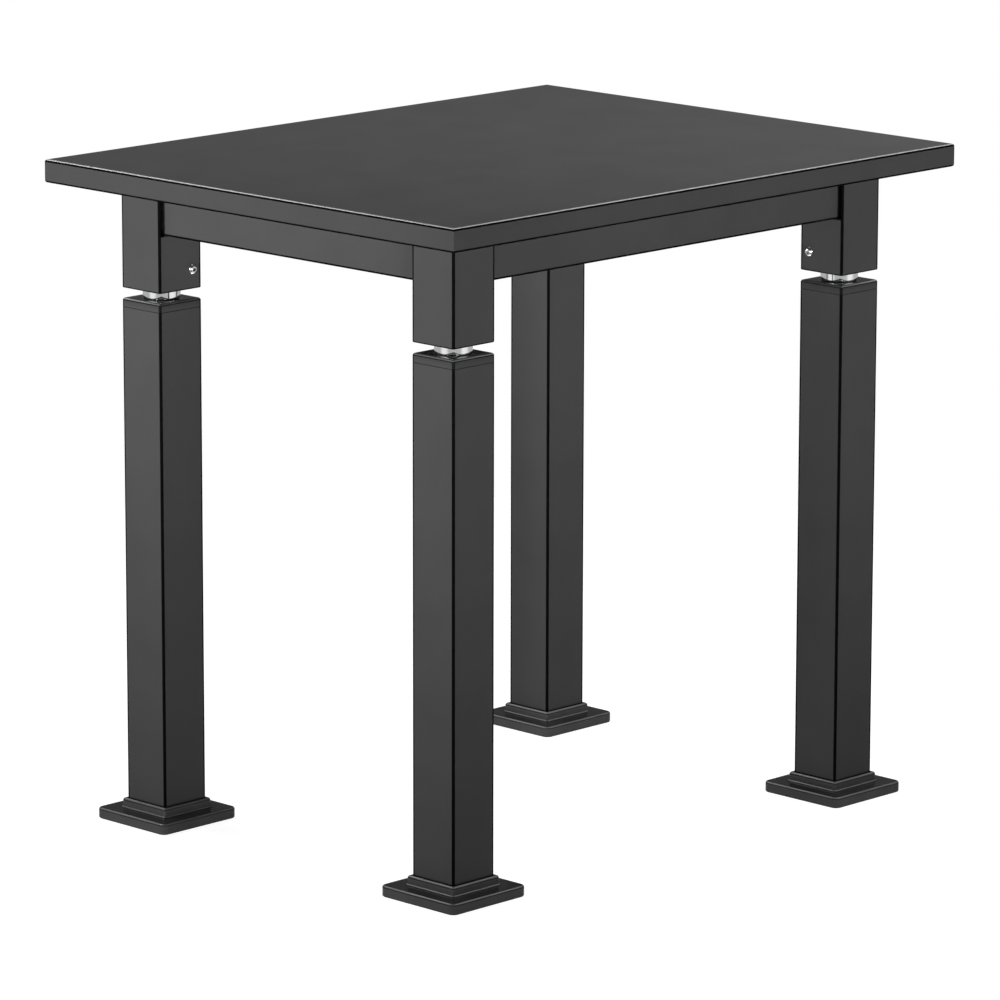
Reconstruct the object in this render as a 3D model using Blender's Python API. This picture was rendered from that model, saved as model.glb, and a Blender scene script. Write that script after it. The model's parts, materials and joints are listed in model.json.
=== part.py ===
"""Height-adjustable laboratory table: a worktop on a welded frame, standing on four screw-adjusted legs.

Metres, +Z up. The origin lies on the floor under the middle of the worktop. X runs along the long side
and the front faces -Y. The table stands at its lowest setting, with every leg screwed fully in.
"""

import math

import bmesh
import bpy
from mathutils import Matrix

# Worktop
TABLE_HEIGHT = 0.730
TOP_WIDTH = 0.775
TOP_DEPTH = 0.620
TOP_THICKNESS = 0.0245
TOP_OVERHANG = 0.058
TOP_CORNER_ROUND = 0.003
TOP_EDGE_ROUND = 0.0018

# Square tube of the posts and legs
TUBE_SIDE = 0.060
TUBE_WALL = 0.002
TUBE_CORNER_ROUND = 0.0022

# Posts and rails of the frame
POST_LENGTH = 0.1135
NOTCH_CORNER_ROUND = 0.002
APRON_HEIGHT = 0.051
APRON_DEPTH = 0.040
APRON_WALL = 0.002
APRON_CORNER_ROUND = 0.0025
APRON_SETBACK = 0.0088

# Plates between the rails, to which the worktop is screwed
PLATE_THICKNESS = 0.003
PLATE_REACH = 0.065
PLATE_SCREW_INSET = 0.018

# Screw adjuster
LEG_TRAVEL = 0.100
ADJUSTER_GAP = 0.0112
HEX_ACROSS_FLATS = 0.040
HEX_HEIGHT = 0.016
HEX_FACE_DIAMETER = 0.0386
HEX_CHAMFER_SLOPE = 1.1
HEX_TURN = math.radians(45)
THREAD_DIAMETER = 0.024
THREAD_PITCH = 0.005
THREAD_DEPTH = 0.00275
THREAD_ENGAGEMENT = 0.030
JOURNAL_DIAMETER = 0.022
PILOT_LENGTH = 0.005
SPINDLE_CHAMFER = 0.001
RING_GROOVE_DEPTH = 0.0012
NUT_FLANGE_DIAMETER = 0.037
NUT_FLANGE_THICKNESS = 0.003
NUT_DIAMETER = 0.031
NUT_LENGTH = 0.036
WASHER_DIAMETER = 0.042
WASHER_THICKNESS = 0.0025
RING_DIAMETER = 0.030
RING_THICKNESS = 0.002
RING_OPENING = 0.010
RING_HEADROOM = 0.012
SPINDLE_END = 0.003
BLOCK_CORNER_ROUND = 0.002

# Button-head screws: two in each post, and one for each corner plate
SCREW_DIAMETER = 0.006
SCREW_HEAD_DIAMETER = 0.011
SCREW_HEAD_HEIGHT = 0.0033
SCREW_HEAD_RIM = 0.0008
SCREW_SOCKET = 0.004
SCREW_SOCKET_DEPTH = 0.002
SCREW_INSET = 0.013
SCREW_RISE = 0.0131
SCREW_SPACE = 0.0015
TOP_SCREW_BITE = 0.015

# Leg ends
CAP_RIM_HEIGHT = 0.010
CAP_EDGE_ROUND = 0.003
CAP_PLUG_DEPTH = 0.022
PLUG_CORNER_ROUND = 0.002
FOOT_SIDE = 0.110
FOOT_PLATE_THICKNESS = 0.0112
FOOT_CORNER_ROUND = 0.008
FOOT_EDGE_ROUND = 0.0025
FOOT_HEIGHT = 0.024
FOOT_FLOOR = 0.005
FOOT_CHAMFER = 0.0006
COLLAR_WIDTH = 0.0048
COLLAR_DRAFT = 0.0013
COLLAR_EDGE_ROUND = 0.002
COLLAR_FILLET = 0.0015
COLLAR_CORNER_ROUND = 0.003

# Gaps: between faces that seat on each other, and round what fits inside something
SEAT_GAP = 0.0003
FIT_GAP = 0.0003

# Smallest round left where a rounded corner is drawn inwards, and how close to a cut counts as on it
LEAST_ROUND = 0.0004
CUT_TOLERANCE = 0.000002

# Fineness of the curved faces
CORNER_STEPS = 3
ROUND_STEPS = 3
TURN_STEPS = 20
SCREW_STEPS = 10
THREAD_STEPS = 10
SMOOTH_ANGLE = math.radians(35)
THREAD_FORM = ((0.0, 1), (0.4, 1), (0.7, 0))

# Heights that follow from the sizes above
UNDERSIDE = TABLE_HEIGHT - TOP_THICKNESS
POST_TOP = UNDERSIDE - SEAT_GAP
POST_BOTTOM = POST_TOP - POST_LENGTH
PLATE_TOP = UNDERSIDE - SEAT_GAP
PLATE_BOTTOM = PLATE_TOP - PLATE_THICKNESS
APRON_TOP = UNDERSIDE - SEAT_GAP
APRON_BOTTOM = APRON_TOP - APRON_HEIGHT
CAP_TOP = POST_BOTTOM - ADJUSTER_GAP
CAP_SEAM = CAP_TOP - CAP_RIM_HEIGHT
TUBE_TOP = CAP_SEAM - SEAT_GAP
TUBE_BOTTOM = FOOT_FLOOR + SEAT_GAP
NUT_TOP = CAP_TOP
NUT_SEAT = NUT_TOP - NUT_FLANGE_THICKNESS
HEX_BOTTOM = NUT_TOP + SEAT_GAP
HEX_TOP = HEX_BOTTOM + HEX_HEIGHT
WASHER_BOTTOM = HEX_TOP + SEAT_GAP
BLOCK_BOTTOM = WASHER_BOTTOM + WASHER_THICKNESS + SEAT_GAP
BLOCK_TOP = APRON_BOTTOM - RING_HEADROOM
RING_BOTTOM = BLOCK_TOP + SEAT_GAP
GROOVE_TOP = RING_BOTTOM + RING_THICKNESS + SEAT_GAP
SPINDLE_TOP = GROOVE_TOP + SPINDLE_END
THREAD_BOTTOM = NUT_TOP - LEG_TRAVEL - THREAD_ENGAGEMENT
SCREW_LEVEL = BLOCK_BOTTOM + SCREW_RISE

# Distances in plan that follow from the sizes above
HALF_TUBE = TUBE_SIDE / 2
POST_X = TOP_WIDTH / 2 - TOP_OVERHANG - HALF_TUBE
POST_Y = TOP_DEPTH / 2 - TOP_OVERHANG - HALF_TUBE
TUBE_BORE = TUBE_SIDE - 2 * TUBE_WALL
PLUG_SIDE = TUBE_BORE - 2 * FIT_GAP
APRON_OUTER = -HALF_TUBE + APRON_SETBACK
APRON_INNER = APRON_OUTER + APRON_DEPTH
APRON_END = APRON_INNER + FIT_GAP
SCREW_OFFSET = HALF_TUBE - SCREW_INSET
SCREW_REACH = SCREW_INSET - SCREW_DIAMETER / 2 - SCREW_SPACE
PLATE_SCREW = HALF_TUBE + PLATE_SCREW_INSET

# Corner of the table, its place along X and Y, and the quarter turns that face a post's notches inwards
CORNERS = (
    ("front_left", -1, -1, 0),
    ("front_right", 1, -1, 1),
    ("back_right", 1, 1, 2),
    ("back_left", -1, 1, 3),
)


def clear_scene():
    for obj in list(bpy.data.objects):
        bpy.data.objects.remove(obj, do_unlink=True)


def material(name, colour, roughness, metallic=0.0):
    made = bpy.data.materials.new(name)
    made.use_nodes = True
    shader = made.node_tree.nodes["Principled BSDF"]
    shader.inputs["Base Color"].default_value = (*colour, 1.0)
    shader.inputs["Roughness"].default_value = roughness
    shader.inputs["Metallic"].default_value = metallic
    return made


def bore_radius(diameter, steps=TURN_STEPS):
    """Corner radius of a faceted bore whose flats clear a shaft of this diameter by the fit gap."""
    return (diameter / 2 + FIT_GAP) / math.cos(math.pi / steps)


def rounded_square(side, corner, level):
    """A ring of points round a square with round corners, centred on the axis."""
    return rounded_rectangle(side, side, corner, level)


def rounded_rectangle(width, depth, corner, level):
    ring = []
    for quarter, (sx, sy) in enumerate(((1, 1), (-1, 1), (-1, -1), (1, -1))):
        for step in range(CORNER_STEPS + 1):
            angle = math.pi / 2 * (quarter + step / CORNER_STEPS)
            x = sx * (width / 2 - corner) + corner * math.cos(angle)
            y = sy * (depth / 2 - corner) + corner * math.sin(angle)
            ring.append((x, y, level))
    return ring


def drawn_in(full_reach, full_corner, reach, level):
    """A ring round a square whose sides and corners are drawn in from its full reach."""
    return rounded_square(2 * reach, max(full_corner - (full_reach - reach), LEAST_ROUND), level)


def skin(rings, joined=False):
    """A closed form through a stack of rings: capped at both ends, or joined into a loop like a tube."""
    form = bmesh.new()
    loops = [[form.verts.new(point) for point in ring] for ring in rings]
    pairs = list(zip(loops, loops[1:]))
    if joined:
        pairs.append((loops[-1], loops[0]))
    else:
        form.faces.new(loops[0])
        form.faces.new(loops[-1])
    for lower, upper in pairs:
        for i in range(len(lower)):
            j = (i + 1) % len(lower)
            form.faces.new((lower[i], lower[j], upper[j], upper[i]))
    bmesh.ops.recalc_face_normals(form, faces=form.faces)
    return form


def turned(profile, steps=TURN_STEPS, joined=False):
    """A form turned about the axis from (radius, height) points, as rings from one end to the other."""
    rings = []
    for radius, level in profile:
        ring = []
        for step in range(steps):
            angle = 2 * math.pi * (step + 0.5) / steps
            ring.append((radius * math.cos(angle), radius * math.sin(angle), level))
        rings.append(ring)
    return skin(rings, joined)


def box(low, high):
    form = bmesh.new()
    bmesh.ops.create_cube(form, size=1.0)
    size = [h - l for l, h in zip(low, high)]
    middle = [(h + l) / 2 for l, h in zip(low, high)]
    bmesh.ops.transform(form, verts=form.verts, matrix=Matrix.Translation(middle) @ Matrix.Diagonal((*size, 1)))
    return form


def hexagon(across_flats, low, high):
    corner = across_flats / 2 / math.cos(math.pi / 6)
    rings = []
    for level in (low, high):
        angles = [HEX_TURN + math.pi / 3 * i for i in range(6)]
        rings.append([(corner * math.cos(a), corner * math.sin(a), level) for a in angles])
    return skin(rings)


def moved(form, offset=(0, 0, 0), turn=None):
    matrix = Matrix.Translation(offset)
    if turn is not None:
        matrix = matrix @ turn
    bmesh.ops.transform(form, verts=form.verts, matrix=matrix)
    return form


def helper(form):
    """A short-lived object for a Boolean step."""
    mesh = bpy.data.meshes.new("helper")
    form.to_mesh(mesh)
    form.free()
    obj = bpy.data.objects.new("helper", mesh)
    obj.hide_render = True
    obj.display_type = "WIRE"
    bpy.context.scene.collection.objects.link(obj)
    return obj


def mesh_of(name, base, *steps):
    """The mesh of a base form after its Boolean steps, each an operation and the form that it takes."""
    work = helper(base)
    helpers = [work]
    for operation, form in steps:
        other = helper(form)
        helpers.append(other)
        modifier = work.modifiers.new(operation.lower(), "BOOLEAN")
        modifier.operation = operation
        modifier.solver = "EXACT"
        modifier.object = other
    bpy.context.view_layer.update()
    graph = bpy.context.evaluated_depsgraph_get()
    mesh = bpy.data.meshes.new_from_object(work.evaluated_get(graph))
    mesh.name = name
    for obj in helpers:
        bpy.data.objects.remove(obj, do_unlink=True)
    mesh.shade_smooth()
    mesh.set_sharp_from_angle(angle=SMOOTH_ANGLE)
    return mesh


def empty(name, location=(0, 0, 0), turn=0.0):
    obj = bpy.data.objects.new(name, None)
    obj.location = location
    obj.rotation_euler.z = turn
    bpy.context.scene.collection.objects.link(obj)
    return obj


def place(name, mesh, finish, parent, location=(0, 0, 0), rotation=(0, 0, 0)):
    obj = bpy.data.objects.new(name, mesh)
    if not mesh.materials:
        mesh.materials.append(finish)
    obj.parent = parent
    obj.location = location
    obj.rotation_euler = rotation
    bpy.context.scene.collection.objects.link(obj)
    return obj


def quarter_round(reach, radius, level, steps=ROUND_STEPS):
    """(reach, level) pairs round an outer edge, from the side up to the top, below the given level."""
    pairs = []
    for step in range(steps + 1):
        angle = math.pi / 2 * step / steps
        pairs.append((reach - radius + radius * math.cos(angle), level - radius + radius * math.sin(angle)))
    return pairs


def table_top():
    """A slab with rounded edges, and a blind hole in its underside over each corner plate's screw."""
    slab = box((-TOP_WIDTH / 2, -TOP_DEPTH / 2, UNDERSIDE), (TOP_WIDTH / 2, TOP_DEPTH / 2, TABLE_HEIGHT))
    upright = [e for e in slab.edges if abs(e.verts[0].co.z - e.verts[1].co.z) > TOP_THICKNESS / 2]
    bmesh.ops.bevel(
        slab, geom=upright, offset=TOP_CORNER_ROUND, segments=CORNER_STEPS, profile=0.5, affect="EDGES"
    )
    level = [e for e in slab.edges if abs(e.verts[0].co.z - e.verts[1].co.z) < TOP_THICKNESS / 2]
    bmesh.ops.bevel(
        slab, geom=level, offset=TOP_EDGE_ROUND, segments=ROUND_STEPS, profile=0.5, affect="EDGES"
    )
    holes = []
    radius = bore_radius(SCREW_DIAMETER, SCREW_STEPS)
    for _, sx, sy, _ in CORNERS:
        hole = turned([(radius, UNDERSIDE - TOP_THICKNESS), (radius, UNDERSIDE + TOP_SCREW_BITE)], SCREW_STEPS)
        spot = (sx * (POST_X - PLATE_SCREW), sy * (POST_Y - PLATE_SCREW), 0)
        holes.append(("DIFFERENCE", moved(hole, spot)))
    return mesh_of("table_top", slab, *holes)


def square_tube(low, high):
    inner_corner = max(TUBE_CORNER_ROUND - TUBE_WALL, LEAST_ROUND)
    return skin(
        [
            rounded_square(TUBE_SIDE, TUBE_CORNER_ROUND, low),
            rounded_square(TUBE_SIDE, TUBE_CORNER_ROUND, high),
            rounded_square(TUBE_BORE, inner_corner, high),
            rounded_square(TUBE_BORE, inner_corner, low),
        ],
        joined=True,
    )


def notch():
    """Cutter for a rail's notch: open at the post's top, round at its lower corners, along +X."""
    low_y = -HALF_TUBE + TUBE_WALL
    high_y = APRON_INNER + FIT_GAP
    floor = APRON_BOTTOM - FIT_GAP
    outline = [(low_y, POST_TOP + TUBE_WALL)]
    for side, start in ((low_y, math.pi), (high_y, 1.5 * math.pi)):
        centre = side + NOTCH_CORNER_ROUND if start == math.pi else side - NOTCH_CORNER_ROUND
        for step in range(CORNER_STEPS + 1):
            angle = start + math.pi / 2 * step / CORNER_STEPS
            y = centre + NOTCH_CORNER_ROUND * math.cos(angle)
            z = floor + NOTCH_CORNER_ROUND + NOTCH_CORNER_ROUND * math.sin(angle)
            outline.append((y, z))
    outline.append((high_y, POST_TOP + TUBE_WALL))
    rings = []
    for x in (HALF_TUBE - 2 * TUBE_WALL, HALF_TUBE + TUBE_WALL):
        rings.append([(x, y, z) for y, z in outline])
    return skin(rings)


def along_x(form, offset):
    """Lays an upright form along +X at a sideways offset, at the height of the post's screws."""
    return moved(form, (0, offset, SCREW_LEVEL), Matrix.Rotation(math.pi / 2, 4, "Y"))


def along_y(form, offset):
    """Lays an upright form along +Y at a sideways offset, at the height of the post's screws."""
    return moved(form, (offset, 0, SCREW_LEVEL), Matrix.Rotation(-math.pi / 2, 4, "X"))


def screw_holes():
    """Cutters for the two screws of a post, through its inner walls and into the block."""
    radius = bore_radius(SCREW_DIAMETER, SCREW_STEPS)
    ends = [(radius, HALF_TUBE - SCREW_REACH - SEAT_GAP), (radius, HALF_TUBE + TUBE_WALL)]
    return [
        ("DIFFERENCE", along_x(turned(ends, SCREW_STEPS), SCREW_OFFSET)),
        ("DIFFERENCE", along_y(turned(ends, SCREW_STEPS), SCREW_OFFSET)),
    ]


def post():
    cuts = [("DIFFERENCE", notch()), ("DIFFERENCE", across_diagonal(notch()))]
    return mesh_of("post", square_tube(POST_BOTTOM, POST_TOP), *cuts, *screw_holes())


def across_diagonal(form):
    """Mirrors a form across the post's diagonal, so that X and Y change places."""
    swap = Matrix(((0, 1, 0, 0), (1, 0, 0, 0), (0, 0, 1, 0), (0, 0, 0, 1)))
    bmesh.ops.transform(form, verts=form.verts, matrix=swap)
    bmesh.ops.recalc_face_normals(form, faces=form.faces)
    return form


def bearing_block():
    blank = skin(
        [
            rounded_square(PLUG_SIDE, BLOCK_CORNER_ROUND, BLOCK_BOTTOM),
            rounded_square(PLUG_SIDE, BLOCK_CORNER_ROUND, BLOCK_TOP),
        ]
    )
    radius = bore_radius(JOURNAL_DIAMETER)
    bore = turned([(radius, BLOCK_BOTTOM - WASHER_THICKNESS), (radius, BLOCK_TOP + RING_THICKNESS)])
    return mesh_of("bearing_block", blank, ("DIFFERENCE", bore), *screw_holes())


def apron(half_span):
    """A rail along X between two posts, its ends inside their notches; its outer face looks to -Y."""
    outer = (APRON_DEPTH, APRON_HEIGHT, APRON_CORNER_ROUND)
    inner_corner = max(APRON_CORNER_ROUND - APRON_WALL, LEAST_ROUND)
    inner = (APRON_DEPTH - 2 * APRON_WALL, APRON_HEIGHT - 2 * APRON_WALL, inner_corner)
    reach = half_span - APRON_END
    rings = []
    for section, end in ((outer, -reach), (outer, reach), (inner, reach), (inner, -reach)):
        rings.append(rounded_rectangle(*section, end))
    form = skin(rings, joined=True)
    upright = Matrix(((0, 0, 1, 0), (1, 0, 0, 0), (0, 1, 0, 0), (0, 0, 0, 1)))
    moved(form, (0, (APRON_OUTER + APRON_INNER) / 2, (APRON_BOTTOM + APRON_TOP) / 2), upright)
    return mesh_of("apron", form)


def corner_plate():
    """A plate in the corner between two rails, cut out round the post, with a hole for the worktop's screw."""
    near = HALF_TUBE + FIT_GAP
    far = HALF_TUBE + PLATE_REACH
    rail = APRON_INNER + FIT_GAP
    outline = [(near, rail), (far, rail), (rail, far), (rail, near), (near, near)]
    blank = skin([[(x, y, level) for x, y in outline] for level in (PLATE_BOTTOM, PLATE_TOP)])
    radius = bore_radius(SCREW_DIAMETER, SCREW_STEPS)
    hole = turned([(radius, PLATE_BOTTOM - PLATE_THICKNESS), (radius, PLATE_TOP + PLATE_THICKNESS)], SCREW_STEPS)
    return mesh_of("corner_plate", blank, ("DIFFERENCE", moved(hole, (PLATE_SCREW, PLATE_SCREW, 0))))


def button_screw(name, length):
    """A button-head screw with a hex socket, head up, its seat at the origin."""
    head = SCREW_HEAD_DIAMETER / 2
    crown = SCREW_HEAD_HEIGHT - SCREW_HEAD_RIM
    profile = [(SCREW_DIAMETER / 2, -length), (SCREW_DIAMETER / 2, 0), (head, 0), (head, SCREW_HEAD_RIM)]
    for step in range(1, ROUND_STEPS + 1):
        angle = math.pi / 3 * step / ROUND_STEPS
        profile.append((head * math.cos(angle), SCREW_HEAD_RIM + crown * math.sin(angle) / math.sin(math.pi / 3)))
    socket = hexagon(SCREW_SOCKET, SCREW_HEAD_HEIGHT - SCREW_SOCKET_DEPTH, SCREW_HEAD_HEIGHT + SCREW_SOCKET_DEPTH)
    return mesh_of(name, turned(profile, SCREW_STEPS), ("DIFFERENCE", socket))


def washer():
    inner = bore_radius(JOURNAL_DIAMETER)
    outer = WASHER_DIAMETER / 2
    top = WASHER_BOTTOM + WASHER_THICKNESS
    profile = [(outer, WASHER_BOTTOM), (outer, top), (inner, top), (inner, WASHER_BOTTOM)]
    return mesh_of("thrust_washer", turned(profile, joined=True))


def retaining_ring():
    """An open ring in the spindle's groove, above the block."""
    inner = bore_radius(JOURNAL_DIAMETER - 2 * RING_GROOVE_DEPTH)
    outer = RING_DIAMETER / 2
    top = RING_BOTTOM + RING_THICKNESS
    ring = turned([(outer, RING_BOTTOM), (outer, top), (inner, top), (inner, RING_BOTTOM)], joined=True)
    low = (0, -RING_OPENING / 2, RING_BOTTOM - RING_THICKNESS)
    opening = box(low, (RING_DIAMETER, RING_OPENING / 2, top + RING_THICKNESS))
    return mesh_of("retaining_ring", ring, ("DIFFERENCE", opening))


def threaded_rod(low, high):
    """A right-hand trapezoidal thread round the axis, cut square at both ends."""
    form = bmesh.new()
    crest = THREAD_DIAMETER / 2
    first = low - 2 * THREAD_PITCH
    turns = math.ceil((high - low) / THREAD_PITCH) + 4
    rows = []
    for turn in range(turns):
        for share, full in THREAD_FORM:
            radius = crest if full else crest - THREAD_DEPTH
            row = []
            for step in range(THREAD_STEPS):
                angle = 2 * math.pi * step / THREAD_STEPS
                level = first + THREAD_PITCH * (turn + share + step / THREAD_STEPS)
                row.append(form.verts.new((radius * math.cos(angle), radius * math.sin(angle), level)))
            rows.append(row)
    per_turn = len(THREAD_FORM)
    for k in range(len(rows) - per_turn - 1):
        for step in range(THREAD_STEPS - 1):
            form.faces.new((rows[k][step], rows[k][step + 1], rows[k + 1][step + 1], rows[k + 1][step]))
        # The last step of a row meets the first step one turn further up.
        last = THREAD_STEPS - 1
        form.faces.new((rows[k][last], rows[k + per_turn][0], rows[k + per_turn + 1][0], rows[k + 1][last]))
    for level, side in ((low, -1), (high, 1)):
        everything = form.verts[:] + form.edges[:] + form.faces[:]
        bmesh.ops.bisect_plane(
            form, geom=everything, plane_co=(0, 0, level), plane_no=(0, 0, side), clear_outer=True
        )
        rim = [e for e in form.edges if e.is_boundary and all(abs(v.co.z - level) < CUT_TOLERANCE for v in e.verts)]
        centre = form.verts.new((0, 0, level))
        for edge in rim:
            form.faces.new((edge.verts[0], edge.verts[1], centre))
    bmesh.ops.recalc_face_normals(form, faces=form.faces)
    return form


def spindle():
    """The screw of a leg: guide end, thread, spanner collar, and the journal that turns in the block."""
    core = THREAD_DIAMETER / 2 - THREAD_DEPTH
    journal = JOURNAL_DIAMETER / 2
    groove = journal - RING_GROOVE_DEPTH
    pilot = THREAD_BOTTOM - PILOT_LENGTH
    shaft = turned(
        [
            (core - 2 * SPINDLE_CHAMFER, pilot),
            (core - SPINDLE_CHAMFER, pilot + SPINDLE_CHAMFER),
            (core - SPINDLE_CHAMFER, HEX_BOTTOM),
            (journal, HEX_BOTTOM + HEX_HEIGHT / 2),
            (journal, BLOCK_TOP),
            (groove, BLOCK_TOP + SEAT_GAP / 2),
            (groove, GROOVE_TOP),
            (journal, GROOVE_TOP + SEAT_GAP / 2),
            (journal, SPINDLE_TOP - SPINDLE_CHAMFER),
            (journal - SPINDLE_CHAMFER, SPINDLE_TOP),
        ]
    )
    face = HEX_FACE_DIAMETER / 2
    wide = HEX_ACROSS_FLATS / 2 / math.cos(math.pi / 6) + SPINDLE_CHAMFER
    chamfer = HEX_CHAMFER_SLOPE * (wide - face)
    barrel = turned(
        [
            (face, HEX_BOTTOM),
            (wide, HEX_BOTTOM + chamfer),
            (wide, HEX_TOP - chamfer),
            (face, HEX_TOP),
        ]
    )
    return mesh_of(
        "adjuster_spindle",
        hexagon(HEX_ACROSS_FLATS, HEX_BOTTOM, HEX_TOP),
        ("INTERSECT", barrel),
        ("UNION", threaded_rod(THREAD_BOTTOM, HEX_BOTTOM + HEX_HEIGHT / 4)),
        ("UNION", shaft),
    )


def leg_nut():
    """A nut sunk into the leg's cap by its flange, whose bore clears the thread's crest."""
    bore = bore_radius(THREAD_DIAMETER)
    flange = NUT_FLANGE_DIAMETER / 2
    body = NUT_DIAMETER / 2
    bottom = NUT_TOP - NUT_LENGTH
    profile = [
        (body, bottom),
        (body, NUT_SEAT),
        (flange, NUT_SEAT),
        (flange, NUT_TOP),
        (bore, NUT_TOP),
        (bore, bottom),
    ]
    return mesh_of("leg_nut", turned(profile, joined=True))


def leg_cap():
    """The end piece of a leg: a rim as wide as the tube, a plug inside it, and the stepped bore for the nut."""
    rings = [rounded_square(PLUG_SIDE, PLUG_CORNER_ROUND, CAP_SEAM - CAP_PLUG_DEPTH)]
    rings.append(rounded_square(PLUG_SIDE, PLUG_CORNER_ROUND, CAP_SEAM))
    rings.append(rounded_square(TUBE_SIDE, TUBE_CORNER_ROUND, CAP_SEAM))
    for reach, level in quarter_round(HALF_TUBE, CAP_EDGE_ROUND, CAP_TOP):
        rings.append(drawn_in(HALF_TUBE, TUBE_CORNER_ROUND, reach, level))
    narrow = bore_radius(NUT_DIAMETER)
    wide = bore_radius(NUT_FLANGE_DIAMETER)
    step = NUT_SEAT - SEAT_GAP
    profile = [
        (narrow, CAP_SEAM - 2 * CAP_PLUG_DEPTH),
        (narrow, step),
        (wide, step),
        (wide, CAP_TOP + CAP_RIM_HEIGHT),
    ]
    return mesh_of("leg_cap", skin(rings), ("DIFFERENCE", turned(profile)))


def foot():
    """A stepped base: a square plate, a collar round the tube, and the socket that the tube stands in."""
    half = FOOT_SIDE / 2
    socket = HALF_TUBE + FIT_GAP
    collar = socket + COLLAR_WIDTH
    base = collar + COLLAR_DRAFT
    plate_edge = [(half - FOOT_CHAMFER, 0.0), (half, FOOT_CHAMFER)]
    plate_edge += quarter_round(half, FOOT_EDGE_ROUND, FOOT_PLATE_THICKNESS)
    collar_side = []
    for step in range(ROUND_STEPS + 1):
        angle = math.pi / 2 * step / ROUND_STEPS
        reach = base + COLLAR_FILLET * (1 - math.sin(angle))
        collar_side.append((reach, FOOT_PLATE_THICKNESS + COLLAR_FILLET * (1 - math.cos(angle))))
    collar_side += quarter_round(collar, COLLAR_EDGE_ROUND, FOOT_HEIGHT)
    rings = [drawn_in(half, FOOT_CORNER_ROUND, reach, level) for reach, level in plate_edge]
    rings += [drawn_in(collar, COLLAR_CORNER_ROUND, reach, level) for reach, level in collar_side]
    rings.append(rounded_square(2 * socket, TUBE_CORNER_ROUND, FOOT_HEIGHT))
    rings.append(rounded_square(2 * socket, TUBE_CORNER_ROUND, FOOT_FLOOR))
    return mesh_of("foot", skin(rings))


def build_frame(finishes):
    """The worktop and the welded frame under it, which stand still."""
    root = empty("frame")
    place("table_top", table_top(), finishes["worktop"], root)
    long_rail = apron(POST_X)
    short_rail = apron(POST_Y)
    for side, rail, quarter in (("front", long_rail, 0), ("right", short_rail, 1)):
        opposite = {"front": "back", "right": "left"}[side]
        distance = POST_Y if rail is long_rail else POST_X
        for name, turn in ((side, quarter), (opposite, quarter + 2)):
            angle = turn * math.pi / 2
            place(
                f"apron_{name}",
                rail,
                finishes["coat"],
                root,
                (distance * math.sin(angle), -distance * math.cos(angle), 0),
                (0, 0, angle),
            )
    return root


def build_corners(root, finishes):
    """What stands at each corner: the post's pieces, then the spindle and the leg on their own axes."""
    meshes = {
        "post": (post(), finishes["coat"]),
        "corner_plate": (corner_plate(), finishes["steel"]),
        "bearing_block": (bearing_block(), finishes["steel"]),
        "thrust_washer": (washer(), finishes["bronze"]),
    }
    turning = {
        "adjuster_spindle": (spindle(), finishes["chrome"]),
        "retaining_ring": (retaining_ring(), finishes["steel"]),
    }
    sliding = {
        "leg_nut": (leg_nut(), finishes["chrome"]),
        "leg_cap": (leg_cap(), finishes["coat"]),
        "leg_tube": (mesh_of("leg_tube", square_tube(TUBE_BOTTOM, TUBE_TOP)), finishes["coat"]),
        "foot": (foot(), finishes["plastic"]),
    }
    block_screw = button_screw("block_screw", SCREW_REACH)
    top_screw = button_screw("top_screw", PLATE_THICKNESS + TOP_SCREW_BITE - SEAT_GAP)
    face = HALF_TUBE + SEAT_GAP
    for corner, sx, sy, quarters in CORNERS:
        axis = (sx * POST_X, sy * POST_Y, 0)
        station = empty(f"corner_{corner}", axis, quarters * math.pi / 2)
        station.parent = root
        for name, (mesh, finish) in meshes.items():
            place(f"{name}_{corner}", mesh, finish, station)
        place(
            f"block_screw_{corner}_a",
            block_screw,
            finishes["chrome"],
            station,
            (face, SCREW_OFFSET, SCREW_LEVEL),
            (0, math.pi / 2, 0),
        )
        place(
            f"block_screw_{corner}_b",
            block_screw,
            finishes["chrome"],
            station,
            (SCREW_OFFSET, face, SCREW_LEVEL),
            (-math.pi / 2, 0, 0),
        )
        place(
            f"top_screw_{corner}",
            top_screw,
            finishes["steel"],
            station,
            (PLATE_SCREW, PLATE_SCREW, PLATE_BOTTOM - SEAT_GAP),
            (math.pi, 0, 0),
        )
        for group, pieces in (("spindle", turning), ("leg", sliding)):
            carrier = empty(f"{group}_{corner}", axis)
            carrier.parent = root
            for name, (mesh, finish) in pieces.items():
                place(f"{name}_{corner}", mesh, finish, carrier)


def main():
    clear_scene()
    finishes = {
        "worktop": material("worktop_laminate", (0.075, 0.075, 0.077), 0.42),
        "coat": material("powder_coat", (0.070, 0.070, 0.072), 0.45),
        "plastic": material("foot_plastic", (0.025, 0.025, 0.026), 0.25),
        "chrome": material("chrome_plate", (0.80, 0.80, 0.81), 0.12, 1.0),
        "steel": material("plain_steel", (0.55, 0.55, 0.56), 0.35, 1.0),
        "bronze": material("bearing_bronze", (0.50, 0.33, 0.14), 0.35, 1.0),
    }
    root = build_frame(finishes)
    build_corners(root, finishes)


main()
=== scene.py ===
"""Looks of the height-adjustable laboratory table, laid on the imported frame.

Metres, +Z up, in the frame's own axes: X runs along the long side and the front faces -Y.
"""

import json
import math

import bmesh
import bpy
from mathutils import Matrix, Vector

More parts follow.
